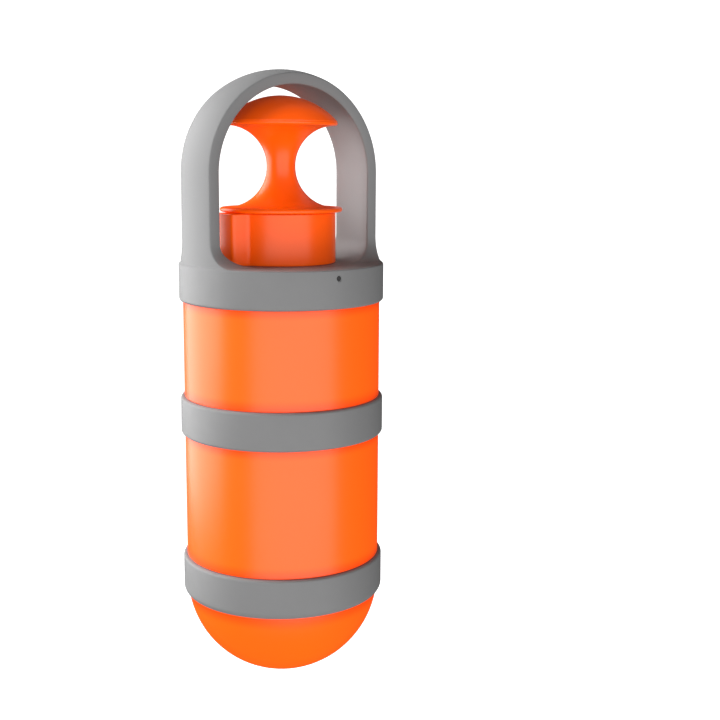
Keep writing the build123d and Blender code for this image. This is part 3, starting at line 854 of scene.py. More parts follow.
# ---------------------------------------------------------------- geometry nodes
class Maker:
    """A Geometry Nodes tree with named inputs, turned into a plain mesh in the end."""

    def __init__(self, name: str) -> None:
        """Starts a tree with its geometry output.

        Args:
            name: The tree's name.
        """
        self.tree = bpy.data.node_groups.new(name, "GeometryNodeTree")
        self.tree.interface.new_socket("Geometry", in_out="OUTPUT", socket_type="NodeSocketGeometry")
        self.source = self.tree.nodes.new("NodeGroupInput")
        self.values: dict[str, Any] = {}

    def given(self, name: str, kind: str, value: Any) -> bpy.types.NodeSocket:
        """Adds a named input and its value.

        Args:
            name: The input's name.
            kind: Its socket type, after NodeSocket.
            value: What the modifier passes in.

        Returns:
            The socket inside the tree.
        """
        made = self.tree.interface.new_socket(name, in_out="INPUT", socket_type="NodeSocket" + kind)
        self.values[made.identifier] = value
        return self.source.outputs[name]

    def node(self, kind: str, settings: dict | None = None, values: dict | None = None) -> bpy.types.Node:
        """Adds a node with its properties and its sockets, as links or plain values.

        Args:
            kind: The node's type.
            settings: Its properties.
            values: Its sockets' values or links.

        Returns:
            The node.
        """
        made = self.tree.nodes.new(kind)
        for key, value in (settings or {}).items():
            setattr(made, key, value)
        for key, value in (values or {}).items():
            if isinstance(value, bpy.types.NodeSocket):
                self.tree.links.new(value, made.inputs[key])
            else:
                made.inputs[key].default_value = value
        return made

    def mesh(self, shape: bpy.types.NodeSocket, material: bpy.types.Material) -> bpy.types.Mesh:
        """Realises the tree's geometry, sets its material and evaluates it once.

        Args:
            shape: The geometry to hand out.
            material: The material of every face.

        Returns:
            The plain mesh.
        """
        real = self.node("GeometryNodeRealizeInstances", None, {"Geometry": shape}).outputs[0]
        coat = self.given("Material", "Material", material)
        dressed = self.node("GeometryNodeSetMaterial", None, {"Geometry": real, "Material": coat}).outputs[0]
        end = self.tree.nodes.new("NodeGroupOutput")
        self.tree.links.new(dressed, end.inputs[0])
        holder = add("node_holder", bpy.data.meshes.new("node_holder"))
        modifier = holder.modifiers.new("maker", "NODES")
        modifier.node_group = self.tree
        for identifier, value in self.values.items():
            modifier[identifier] = value
        made = settled(holder)
        bpy.data.objects.remove(holder)
        return smooth(made)

    def ring_of_points(self, count: int, pitch: float, first: float, height: float) -> bpy.types.NodeSocket:
        """Points in a ring about the axis, at one height.

        Args:
            count: Points in the ring.
            pitch: The ring's radius.
            first: The first point's angle in degrees.
            height: The ring's height.

        Returns:
            The points.
        """
        angle = self.given("First angle", "Float", math.radians(first))
        circle = self.node(
            "GeometryNodeMeshCircle",
            None,
            {
                "Vertices": self.given("Count", "Int", count),
                "Radius": self.given("Pitch radius", "Float", pitch),
            },
        )
        turn = self.node("ShaderNodeCombineXYZ", None, {"Z": angle}).outputs[0]
        lift = self.given("Height", "Float", height)
        rise = self.node("ShaderNodeCombineXYZ", None, {"Z": lift}).outputs[0]
        values = {"Geometry": circle.outputs[0], "Rotation": turn, "Translation": rise}
        return self.node("GeometryNodeTransform", None, values).outputs[0]

    def on_points(self, points: bpy.types.NodeSocket, item: bpy.types.NodeSocket) -> bpy.types.NodeSocket:
        """Puts an item on every point, its X axis turned away from the lantern's axis.

        Args:
            points: Where the items go.
            item: The item.

        Returns:
            The items in place.
        """
        spot = self.node("GeometryNodeInputPosition").outputs[0]
        flat = self.node("ShaderNodeVectorMath", {"operation": "MULTIPLY"}, {0: spot, 1: (1.0, 1.0, 0.0)})
        out = self.node("FunctionNodeAlignRotationToVector", {"axis": "X"}, {"Vector": flat.outputs[0]})
        values = {"Points": points, "Instance": item, "Rotation": out.outputs[0]}
        return self.node("GeometryNodeInstanceOnPoints", None, values).outputs[0]

    def item(self, piece: bpy.types.Object) -> bpy.types.NodeSocket:
        """Brings a scene object in as an item."""
        link = self.given("Item", "Object", piece)
        return self.node("GeometryNodeObjectInfo", None, {"Object": link}).outputs["Geometry"]


def repeated(
    name: str,
    item: bpy.types.Mesh,
    count: int,
    pitch: float,
    first: float,
    heights: Sequence[float],
    finish: Finish,
) -> bpy.types.Mesh:
    """Repeats an item round the axis, one ring for each height.

    Args:
        name: The mesh's name.
        item: The item, made at the origin with its X axis outwards.
        count: Items in a ring.
        pitch: The ring's radius.
        first: The first item's angle in degrees.
        heights: The rings' heights, evenly spaced or not.
        finish: The items' finish.

    Returns:
        One plain mesh.
    """
    pattern = add("pattern", item)
    material = finish.material()
    shape = Shape()
    for height in heights:
        maker = Maker(name)
        points = maker.ring_of_points(count, pitch, first, height)
        shape.bm.from_mesh(maker.mesh(maker.on_points(points, maker.item(pattern)), material))
    bpy.data.objects.remove(pattern)
    mesh = bpy.data.meshes.new(name)
    shape.bm.to_mesh(mesh)
    shape.bm.free()
    return smooth(mesh)


# ---------------------------------------------------------------- sub-assemblies
@dataclass(frozen=True)
class PostRing:
    """Bored posts standing in a ring under the deck."""

    count: int
    first: float
    pitch: float
    radius: float
    bore: float
    length: float

    def places(self) -> list[Point]:
        """Where the posts stand."""
        angles = [math.radians(self.first + 360.0 * i / self.count) for i in range(self.count)]
        return [(self.pitch * math.cos(a), self.pitch * math.sin(a)) for a in angles]

    def add_to(self, shape: Shape, top: float) -> None:
        """Adds the posts to a shape, hanging from a height.

        Args:
            shape: The shape that takes the posts.
            top: The height they hang from.
        """
        low = top - self.length
        outline = [(self.bore, low), (self.radius, low), (self.radius, top), (self.bore, top)]
        for place in self.places():
            shape.turn(outline, BORE_STEPS, place)


@dataclass
class Yoke:
    """Top ring with its deck, and the arch, one grey moulding."""

    ring_foot: float
    deck: float
    radius: float
    arch_radius: float
    arch_top: float
    arch_wall: float = 4.4 * MM
    half_width: float = 11.5 * MM
    flare: float = 9.0 * MM
    leg_fillet: float = 8.5 * MM
    foot_step: float = 0.7 * MM
    edge: float = 0.7 * MM
    deck_thickness: float = 2.2 * MM
    socket_depth: float = 8.6 * MM
    socket_wall: float = 3.0 * MM
    rim_wall: float = 5.0 * MM
    opening: float = 19.65 * MM
    status_drop: float = 3.2 * MM
    status_radius: float = 1.0 * MM
    status_reach: float = 6 * MM
    countersink_flare: float = 0.45 * MM
    countersink_depth: float = 0.5 * MM
    core_posts: PostRing = field(
        default_factory=lambda: PostRing(4, 45.0, 31.0 * MM, 3.0 * MM, 1.55 * MM, 8.6 * MM)
    )
    board_posts: PostRing = field(
        default_factory=lambda: PostRing(3, 90.0, 25.0 * MM, 2.2 * MM, 0.85 * MM, 7.0 * MM)
    )
    leg_steps: int = 36
    arch_steps: int = 96
    across_steps: int = 12

    def centre(self) -> float:
        """Height of the arch's centre."""
        return self.arch_top - self.arch_radius

    def ring_mesh(self) -> bpy.types.Mesh:
        """The ring and deck, turned, with the status light's hole.

        Returns:
            The ring's mesh.
        """
        low, high, outer = self.ring_foot, self.deck, self.radius
        under, step = high - self.deck_thickness, low + self.socket_depth
        bore = outer - self.socket_wall
        outline = rounded(
            [
                (bore, low, 0.3 * MM),
                (outer, low, 1.2 * MM),
                (outer, high, 0.6 * MM),
                (self.opening, high, 0.3 * MM),
                (self.opening, under, 0.0),
                (outer - self.rim_wall, under, 0.0),
                (outer - self.rim_wall, step, 0.0),
                (bore, step, 0.0),
            ]
        )
        ring = Shape().turn(outline).mesh("yoke_ring")
        z = high - self.status_drop
        start, end = Vector((0, -outer - MM, z)), Vector((0, -outer + self.status_reach, z))
        ring = carved(ring, rod(self.status_radius, start, end))
        countersink = Shape()
        bmesh.ops.create_cone(
            countersink.bm,
            cap_ends=True,
            segments=BORE_STEPS,
            radius1=self.status_radius + self.countersink_flare,
            radius2=self.status_radius - 0.05 * MM,
            depth=self.countersink_depth,
        )
        turn = Matrix.Translation((0, -outer + 0.2 * MM, z)) @ Matrix.Rotation(-math.pi / 2, 4, "X")
        bmesh.ops.transform(countersink.bm, matrix=turn, verts=countersink.bm.verts)
        return carved(ring, countersink.mesh("countersink"))

    def section(self, half_width: float, inner: float, outer: float) -> list[Point]:
        """The strap's section as (distance from the axis in the arch's plane, place across).

        Args:
            half_width: Half the strap's width.
            inner: Radius of its inner face.
            outer: Radius of its outer face.

        Returns:
            The closed section, with rounded edges.
        """
        edge = self.edge
        side = half_width - edge
        out_angle = math.degrees(math.asin(side / (outer - edge)))
        in_angle = math.degrees(math.asin(side / (inner + edge)))
        steps = self.across_steps

        def flat(radius: float, first: float, last: float) -> list[Point]:
            """An inner or outer face."""
            return arc_points((0, 0), radius, first, last, steps)[:-1]

        def corner(radius: float, angle: float, first: float, last: float) -> list[Point]:
            """A rounded edge, centred at a radius and an angle."""
            centre = (radius * math.cos(math.radians(angle)), radius * math.sin(math.radians(angle)))
            return arc_points(centre, edge, first, last, CORNER_STEPS)[:-1]

        return (
            flat(outer, -out_angle, out_angle)
            + corner(outer - edge, out_angle, out_angle, 90)
            + corner(inner + edge, in_angle, 90, 180 + in_angle)
            + flat(inner, in_angle, -in_angle)
            + corner(inner + edge, -in_angle, 180 - in_angle, 270)
            + corner(outer - edge, -out_angle, -90, -out_angle)
        )

    def leg_row(self, height: float, side: int) -> list[Vector]:
        """One section of a leg at a height, on the given side.

        Args:
            height: The section's height.
            side: 1 for the leg at +X, -1 for the other.

        Returns:
            The section's corners.
        """
        inner, outer = self.arch_radius - self.arch_wall, self.arch_radius
        above_deck = min(max(height - self.deck, 0.0), self.leg_fillet)
        inner -= self.leg_fillet - math.sqrt(self.leg_fillet**2 - (self.leg_fillet - above_deck) ** 2)
        rise = self.flare + self.foot_step
        share = 1 - min(max(height - self.deck, 0.0), rise) / rise
        half = self.half_width + self.flare * (1 - math.sqrt(1 - share**2))
        foot = max(0.0, 1 - max(height - self.deck, 0.0) / self.foot_step)
        outer += (self.radius - self.arch_radius - 0.25 * MM) * foot**2
        return [Vector((side * rho, side * v, height)) for rho, v in self.section(half, inner, outer)]

    def strap_mesh(self) -> bpy.types.Mesh:
        """The arch with its flared feet, swept section by section.

        Returns:
            The arch's mesh.
        """
        foot, centre = self.deck - 1.0 * MM, self.centre()
        bend = self.deck + self.foot_step + self.flare
        low = [foot, self.deck - 0.01 * MM]
        fine = [self.deck + (bend - self.deck) * (i / self.leg_steps) ** 2 for i in range(self.leg_steps + 1)]
        heights = low + fine + [bend + (centre - bend) * i / 8 for i in range(1, 8)]
        rows = [self.leg_row(height, 1) for height in heights]
        section = self.section(self.half_width, self.arch_radius - self.arch_wall, self.arch_radius)
        for i in range(self.arch_steps + 1):
            angle = math.pi * i / self.arch_steps
            c, s = math.cos(angle), math.sin(angle)
            rows.append([Vector((rho * c, v, centre + rho * s)) for rho, v in section])
        for height in reversed(heights):
            row = [Vector((-spot.x, spot.y, spot.z)) for spot in self.leg_row(height, 1)]
            rows.append(row)
        shape = Shape()
        shape.grid(rows, True, False)
        shape.cap(rows[0])
        shape.cap(rows[-1])
        return shape.mesh("yoke_strap")

    def build(self) -> None:
        """Joins ring and arch into one piece."""
        shape = Shape()
        for part in (self.ring_mesh(), self.strap_mesh()):
            shape.bm.from_mesh(part)
        for posts in (self.core_posts, self.board_posts):
            posts.add_to(shape, self.deck - self.deck_thickness + 0.5 * MM)
        mesh = bpy.data.meshes.new("handle_yoke")
        shape.bm.to_mesh(mesh)
        shape.bm.free()
        grey = FineMoulding("grey_moulding")
        finish_piece("carrying_yoke", smooth(mesh), grey, Body.HOUSING, ["handle_yoke"])


@dataclass
class Shells:
    """The two glowing shells and the band that joins them."""

    lower: tuple[float, float]
    upper: tuple[float, float]
    coupling: tuple[float, float]
    bezel_top: float
    ring_foot: float
    shell_radius: float
    band_radius: float
    spigot_radius: float = 37.95 * MM
    spigot_bore: float = 35.0 * MM
    shell_bore: float = 37.0 * MM
    inset: float = 3.5 * MM
    lip_bore: float = 31.0 * MM
    lip: tuple[float, float] = (-1.3 * MM, 1.2 * MM)
    gap: float = 0.1 * MM
    groove_half: float = 0.95 * MM
    groove_depth: float = 1.95 * MM
    slot_depth: float = 1.85 * MM
    slot_half: float = 3.6
    slot_turn: float = 25.0
    slot_rise: tuple[float, float] = (2.0 * MM, 4.4 * MM)
    slot_count: int = 3

    def groove(self, height: float, downwards: bool = False) -> list[Point]:
        """Section points of an O-ring groove round a spigot.

        Args:
            height: The groove's middle.
            downwards: Whether the section runs down.

        Returns:
            The groove's points.
        """
        outer, floor, half = self.spigot_radius, self.spigot_radius - self.groove_depth, self.groove_half
        points = [
            (outer, height - half),
            (floor, height - half),
            (floor, height + half),
            (outer, height + half),
        ]
        return points[::-1] if downwards else points

    def slots(self, foot: float) -> list[bpy.types.Mesh]:
        """The bayonet's entries and runs, for carving: three sectors each.

        Args:
            foot: The height of the spigot's open end.

        Returns:
            The runs and the entries.
        """
        outer, floor = self.spigot_radius + MM, self.spigot_radius - self.slot_depth
        low, high = foot + self.slot_rise[0], foot + self.slot_rise[1]
        turn, half = self.slot_turn, self.slot_half
        runs, entries = Shape(), Shape()
        for i in range(self.slot_count):
            start = 360.0 * i / self.slot_count
            runs.sector(floor, outer, low, high, start - half, start + turn + half)
            entries.sector(floor, outer, foot - MM, high, start + turn - half, start + turn + half)
        return [runs.mesh("slot_runs"), entries.mesh("slot_entries")]

    def shell_outline(
        self, foot: float, low: float, high: float, top: float, grooves: Sequence[float], lip: bool
    ) -> list[Point]:
        """Section of a shell with a spigot beyond each shoulder.

        Args:
            foot: Lower end of the lower spigot.
            low: Lower shoulder.
            high: Upper shoulder.
            top: Upper end of the upper spigot.
            grooves: Heights of the O-ring grooves in the lower and the upper spigot.
            lip: Whether a lip stands inwards at the lower shoulder.

        Returns:
            The closed section.
        """
        outer, spigot, bore, wide = self.shell_radius, self.spigot_radius, self.spigot_bore, self.shell_bore
        soft = 0.35 * MM
        shoulder = rounded([(spigot, low, 0.0), (outer, low, soft), (outer, high, soft), (spigot, high, 0.0)])
        inside = [(bore, top), (bore, high - self.inset), (wide, high - self.inset)]
        inside += [(wide, low + self.inset), (bore, low + self.inset)]
        if lip:
            under, over = low + self.lip[0], low + self.lip[1]
            inside += [(bore, over), (self.lip_bore, over), (self.lip_bore, under), (bore, under)]
        return (
            [(bore, foot), (spigot, foot)]
            + self.groove(grooves[0])
            + shoulder
            + self.groove(grooves[1])
            + [(spigot, top)]
            + inside
        )

    def build(self) -> None:
        """Makes both shells and the band."""
        # Painted shade on the shells, reaching this far from each band.
        lower_painted_shade = ((self.bezel_top, 5 * MM), (self.coupling[0], 4 * MM))
        upper_painted_shade = ((self.coupling[1], 5 * MM), (self.ring_foot, 4 * MM))
        below, above = self.coupling[0] + 3.4 * MM, self.coupling[1] - 3.4 * MM
        (foot, top), low = self.lower, self.bezel_top + self.gap
        outline = self.shell_outline(foot, low, self.coupling[0], top, (low - 1.5 * MM, below), True)
        mesh = Shape().turn(outline).mesh("lower_glow_shell")
        for tool in self.slots(foot):
            mesh = carved(mesh, tool)
        glow = PaintedGlowShell("lower_painted_glow", lower_painted_shade)
        finish_piece("lower_glow_shell", mesh, glow, Body.HOUSING, ["lower_shell"])
        (foot, top), high = self.upper, self.ring_foot
        outline = self.shell_outline(foot, self.coupling[1], high, top, (above, high + 4.5 * MM), False)
        mesh = Shape().turn(outline).mesh("upper_glow_shell")
        glow = PaintedGlowShell("upper_painted_glow", upper_painted_shade)
        finish_piece("upper_glow_shell", mesh, glow, Body.HOUSING, ["upper_shell"])
        low, high = self.coupling
        web = (self.lower[1], self.upper[0])
        bore = self.spigot_radius + 0.05 * MM
        outline = rounded(
            [
                (bore, low, 0.3 * MM),
                (self.band_radius, low, 1.2 * MM),
                (self.band_radius, high, 1.2 * MM),
                (bore, high, 0.3 * MM),
                (bore, web[1], 0.0),
                (self.spigot_bore, web[1], 0.0),
                (self.spigot_bore, web[0], 0.0),
                (bore, web[0], 0.0),
            ]
        )
        mesh = Shape().turn(outline).mesh("coupling_band")
        grey = FineMoulding("grey_moulding")
        finish_piece("coupling_band", mesh, grey, Body.HOUSING, ["middle_band"])


@dataclass
class DomeHead:
    """The turning head: bezel band and dome."""

    foot: float
    top: float
    rim: float
    band_radius: float
    dome_radius: float
    bore: float = 38.0 * MM
    lip_in: float = 1.5 * MM
    lip_up: float = 2.6 * MM
    ledge_thickness: float = 0.7 * MM
    ledge_reach: float = 1.4 * MM
    dome_wall: float = 2.5 * MM
    dome_steps: int = 64
    pin_tip: float = 36.3 * MM
    pin_half: float = 3.1
    pin_rise: tuple[float, float] = (3.2 * MM, 5.2 * MM)
    pin_count: int = 3

    def bezel_outline(self) -> list[Point]:
        """Section of the bezel, with its tucked-in lower lip.

        Returns:
            The section's points.
        """
        low, high, outer = self.foot, self.top, self.band_radius
        lip_radius = (self.lip_in**2 + self.lip_up**2) / (2 * self.lip_in)
        sweep = math.degrees(math.asin(self.lip_up / lip_radius))
        lip = arc_points((outer - lip_radius, low + self.lip_up), lip_radius, -sweep, 0)
        edge = 1.2 * MM
        shoulder = arc_points((outer - edge, high - edge), edge, 0, 90)
        ledge = self.rim + self.ledge_thickness
        inner = self.bore - self.ledge_reach
        return (
            [(self.bore, low)]
            + lip
            + shoulder
            + [(self.bore, high), (self.bore, ledge), (inner, ledge)]
            + [(inner, self.rim), (self.bore, self.rim)]
        )

    def dome_outline(self) -> list[Point]:
        """Section of the dome: a half sphere with a skirt inside the bezel.

        Returns:
            The section's points.
        """
        outer, inner = self.dome_radius, self.dome_radius - self.dome_wall
        skirt, skirt_bore = self.bore - 0.05 * MM, self.bore - 0.05 * MM - self.dome_wall
        edge_angle = -math.degrees(math.asin((outer - self.foot) / outer))
        inner_angle = -math.degrees(math.acos(skirt_bore / inner))
        out = arc_points((0, outer), outer, -90, edge_angle, self.dome_steps)
        back = arc_points((0, outer), inner, inner_angle, -90, self.dome_steps)
        return out + [(skirt, self.foot), (skirt, self.rim), (skirt_bore, self.rim)] + back

    def build(self) -> None:
        """Makes the bezel and the dome."""
        shape = Shape().turn(self.bezel_outline())
        low, high = (self.rim + self.pin_rise[0], self.rim + self.pin_rise[1])
        for i in range(self.pin_count):
            start = 360.0 * i / self.pin_count
            first, last = start - self.pin_half, start + self.pin_half
            shape.sector(self.pin_tip, self.bore + 0.1 * MM, low, high, first, last)
        bezel = shape.mesh("dome_bezel")
        grey = FineMoulding("grey_moulding")
        finish_piece("dome_bezel", bezel, grey, Body.HEAD, ["lower_band"])
        dome = Shape().turn(self.dome_outline()).mesh("beam_dome")
        # The dome takes the same painted glow, with painted shade near its foot.
        glow = PaintedGlowShell("dome_painted_glow", ((self.foot, 6 * MM),), strength=0.42)
        finish_piece("beam_dome", dome, glow, Body.HEAD, ["dome_lens"])


@dataclass
class Drum:
    """Switch drum on the deck, with its lug towards the left leg."""

    deck: float
    top: float
    foot: float
    lug_reach: float
    radius: float = 21.7 * MM
    lug_half: float = 8.2 * MM
    lug_edge: float = 1.8 * MM
    lug_root: float = 2.0 * MM
    bore: float = 18.0 * MM
    roof: float = 2.4 * MM
    spigot: float = 19.6 * MM
    foot_round: float = 0.6 * MM
    around_steps: int = 96

    def outline(self, inset: float) -> list[Point]:
        """The drum's plan with its lug, drawn in by an inset.

        Args:
            inset: How far the plan is drawn in.

        Returns:
            The plan's points.
        """
        radius, half, far = self.radius - inset, self.lug_half - inset, self.lug_reach - inset
        edge, root = self.lug_edge, self.lug_root + inset
        across = -math.sqrt((radius + root) ** 2 - (half + root) ** 2)
        neck = math.degrees(math.atan2(half + root, across))
        turn = arc_points((0, 0), radius, -neck, neck, self.around_steps)
        upper = arc_points((across, half + root), root, neck - 180, -90, CORNER_STEPS)
        upper += arc_points((-far + edge, half - edge), edge, 90, 180, CORNER_STEPS)
        lower = [(x, -y) for x, y in reversed(upper)]
        return turn + upper + lower

    def build(self) -> None:
        """Makes the drum with a rounded foot and a crisp top edge."""
        soft = self.foot_round
        angles = [math.pi / 2 * i / CORNER_STEPS for i in range(CORNER_STEPS + 1)]
        layers = [
            (self.outline(soft * (1 - math.sin(a))), self.deck + soft * (1 - math.cos(a)))
            for a in angles
        ]
        chamfer = 0.2 * MM
        layers += [(self.outline(0.0), self.top - chamfer), (self.outline(chamfer), self.top)]
        body = Shape().stack(layers).mesh("switch_drum")
        foot = rod(self.spigot, Vector((0, 0, self.foot)), Vector((0, 0, self.deck + MM)), 128)
        body = carved(body, foot, "UNION")
        bore = rod(self.bore, Vector((0, 0, self.foot - MM)), Vector((0, 0, self.top - self.roof)), 128)
        body = carved(body, bore)
        hole = rod(5.05 * MM, Vector((0, 0, self.deck)), Vector((0, 0, self.top + MM)), 64)
        body = carved(body, hole)
        orange = SatinMoulding("orange_moulding")
        finish_piece("switch_drum_body", body, orange, Body.HOUSING, ["switch_drum"])


@dataclass
class Knob:
    """Pull-and-twist grip: a waisted spool and its domed cap."""

    foot: float
    joint: float
    flange_radius: float
    apex: float
    rim_radius: float
    flange: float = 1.7 * MM
    neck: float = 5.7 * MM
    lower_horn: float = 16.0 * MM
    upper_horn: float = 15.9 * MM
    horn_top: float = 223.9 * MM
    cap_sphere: float = 30.0 * MM
    pocket: float = 3.6 * MM
    pocket_floor: float = 213.5 * MM
    bore: float = 3.05 * MM
    bore_top: float = 212.0 * MM
    screw_hole: float = 1.6 * MM
    hollow: float = 14.0 * MM
    horn_steps: int = 32

    def spool_outline(self) -> list[Point]:
        """Section of the spool: flange, horn, neck, horn.

        Returns:
            The section's points.
        """
        half = self.flange / 2
        tip = arc_points((self.flange_radius - half, self.foot + half), half, -90, 90, 12)
        floor = self.foot + self.flange
        low_centre = (self.neck + self.lower_horn, floor + self.lower_horn)
        up_centre = (self.neck + self.upper_horn, self.horn_top - self.upper_horn)
        last = 180 - math.degrees(math.asin((self.joint - up_centre[1]) / self.upper_horn))
        return (
            tip
            + arc_points(low_centre, self.lower_horn, 270, 180, self.horn_steps)
            + arc_points(up_centre, self.upper_horn, 180, last, self.horn_steps)
            + [(self.pocket, self.joint), (self.pocket, self.pocket_floor)]
            + [(self.screw_hole, self.pocket_floor), (self.screw_hole, self.bore_top)]
            + [(self.bore, self.bore_top), (self.bore, self.foot)]
        )

    def cap_outline(self) -> list[Point]:
        """Section of the cap: the horn's outer end, a soft rim and a shallow dome over a hollow.

        Returns:
            The section's points.
        """
        up_centre = (self.neck + self.upper_horn, self.horn_top - self.upper_horn)
        first = 180 - math.degrees(math.asin((self.joint - up_centre[1]) / self.upper_horn))
        sphere_centre = self.apex - self.cap_sphere
        rim = 0.85 * MM
        rim_centre = (self.rim_radius - rim, self.horn_top + rim)
        lean = math.degrees(math.atan2(rim_centre[1] - sphere_centre, rim_centre[0]))
        rim_reach = rim_centre[0] + rim * math.cos(math.radians(lean))
        shoulder = math.degrees(math.acos(rim_reach / self.cap_sphere))
        roof = self.horn_top + 5 * MM
        plug, plug_end = self.pocket - 0.05 * MM, self.pocket_floor + 3.5 * MM
        return (
            arc_points(up_centre, self.upper_horn, first, 90, 16)
            + arc_points(rim_centre, rim, -90, lean, 12)
            + arc_points((0, sphere_centre), self.cap_sphere, shoulder, 90, 40)
            + [(0, plug_end), (plug, plug_end)]
            + [(plug, roof), (self.hollow, roof), (self.hollow, self.joint)]
        )

    def build(self) -> None:
        """Makes the spool and the cap."""
        orange = SatinMoulding("orange_moulding")
        spool = Shape().turn(self.spool_outline()).mesh("grip_spool")
        finish_piece("grip_spool", spool, orange, Body.KNOB, ["knob_spool"])
        cap = Shape().turn(self.cap_outline()).mesh("grip_cap")
        finish_piece("grip_cap", cap, orange, Body.KNOB, ["knob_cap"])


@dataclass
class Core:
    """What repeats inside: the glow lights, the cells and their contact springs."""

    zones: tuple[tuple[float, float], ...]
    cell_span: tuple[float, float]
    spring_span: tuple[float, float]
    face: float = 27.6 * MM
    led_half: float = 1.5 * MM
    led_height: float = 0.8 * MM
    leds: int = 4
    strips: int = 6
    cell_radius: float = 9.2 * MM
    cell_pitch: float = 11.6 * MM
    cell_first: float = 30.0
    cells: int = 3
    button_radius: float = 3.0 * MM
    button_height: float = 1.4 * MM
    spring_radius: float = 2.2 * MM
    spring_wire: float = 0.3 * MM
    spring_turns: float = 3.0

    def led_item(self) -> bpy.types.Mesh:
        """A square chip with a round, sunk phosphor window, its face along X.

        Returns:
            The chip's mesh.
        """
        half, deep = self.led_half, self.led_height
        square = [(half, -half), (half, half), (-half, half), (-half, -half)]
        shape = Shape()
        rim = []
        steps = 8
        for (y0, z0), (y1, z1) in zip(square, square[1:] + square[:1]):
            rim += [(y0 + (y1 - y0) * i / steps, z0 + (z1 - z0) * i / steps) for i in range(steps)]
        window = [math.atan2(z, y) for y, z in rim]
        scales = ((0.80, 0.0), (0.74, 0.16 * MM), (0.0, 0.22 * MM))
        rows = [[Vector((0.0, y, z)) for y, z in rim], [Vector((deep, y, z)) for y, z in rim]]
        for share, sunk in scales:
            radius = half * share
            rows.append([Vector((deep - sunk, radius * math.cos(a), radius * math.sin(a))) for a in window])
        shape.grid(rows, True, False)
        shape.cap(rows[0])
        return shape.mesh("led_item")

    def cell_item(self) -> bpy.types.Mesh:
        """A wrapped cell with a crimped shoulder and a raised contact.

        Returns:
            The cell's mesh.
        """
        foot, top = self.cell_span
        radius, length = self.cell_radius, top - foot - self.button_height
        crimp = length - 3.0 * MM
        outline = rounded(
            [
                (0.0, 0.0, 0.0),
                (radius, 0.0, 0.6 * MM),
                (radius, crimp - 0.8 * MM, 0.3 * MM),
                (radius - 0.35 * MM, crimp, 0.3 * MM),
                (radius, crimp + 0.8 * MM, 0.3 * MM),
                (radius, length, 0.6 * MM),
                (self.button_radius, length, 0.0),
                (self.button_radius, length + self.button_height, 0.3 * MM),
                (0.0, length + self.button_height, 0.0),
            ]
        )
        return Shape().turn(outline, 64).mesh("cell_item")

    def spring_mesh(self, finish: Finish) -> bpy.types.Mesh:
        """The contact springs: a wire swept along a helix, repeated over the cells.

        Args:
            finish: The springs' finish.

        Returns:
            The springs' mesh.
        """
        low, high = self.spring_span
        wire = self.spring_wire
        maker = Maker("contact_springs")
        path = maker.node(
            "GeometryNodeCurveSpiral",
            None,
            {
                "Resolution": 32,
                "Rotations": maker.given("Turns", "Float", self.spring_turns),
                "Start Radius": maker.given("Foot radius", "Float", self.spring_radius),
                "End Radius": maker.given("Top radius", "Float", self.spring_radius),
                "Height": maker.given("Rise", "Float", high - low - 2 * wire),
            },
        )
        section = maker.node(
            "GeometryNodeCurvePrimitiveCircle",
            None,
            {"Resolution": 12, "Radius": maker.given("Wire radius", "Float", wire)},
        )
        values = {"Curve": path.outputs[0], "Profile Curve": section.outputs[0], "Fill Caps": True}
        coil = maker.node("GeometryNodeCurveToMesh", None, values).outputs[0]
        points = maker.ring_of_points(self.cells, self.cell_pitch, self.cell_first, low + wire)
        return maker.mesh(maker.on_points(points, coil), finish.material())

    def build(self) -> None:
        """Makes the lights, the cells and the springs."""
        phosphor = PlainMoulding("phosphor", (0.9, 0.62, 0.08), (0.8, 0.5, 0.05), 0.4)
        heights = []
        for low, high in self.zones:
            step = (high - low) / self.leds
            heights += [low + step * (i + 0.5) for i in range(self.leds)]
        lights = repeated("glow_lights", self.led_item(), self.strips, self.face, 0.0, heights, phosphor)
        finish_piece("glow_lights", lights, phosphor, Body.HOUSING, ["glow_leds"])
        wrap = PlainMoulding("cell_wrap", (0.02, 0.12, 0.38), (0.03, 0.15, 0.44), 0.25)
        item, foot = self.cell_item(), [self.cell_span[0]]
        cells = repeated("wrapped_cells", item, self.cells, self.cell_pitch, self.cell_first, foot, wrap)
        finish_piece("wrapped_cells", cells, wrap, Body.HOUSING, ["battery_cells"])
        steel = TurnedMetal("coiled_wire", (0.42, 0.42, 0.44), (0.3, 0.29, 0.28), 0.32, 0.6 * MM)
        springs = self.spring_mesh(steel)
        finish_piece("cell_springs", springs, steel, Body.HOUSING, ["contact_springs"])


# ---------------------------------------------------------------- CAD nodes that stay
@dataclass(frozen=True)
class Dressing:
    """Which CAD nodes take which finish."""

    finish: Finish
    nodes: tuple[str, ...]

    def apply(self) -> None:
        """Gives the nodes their material."""
        material = self.finish.material()
        for node in self.nodes:
            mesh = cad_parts[node].data
            mesh.materials.clear()
            mesh.materials.append(material)
            log.info("%s: %s", node, self.finish.name)


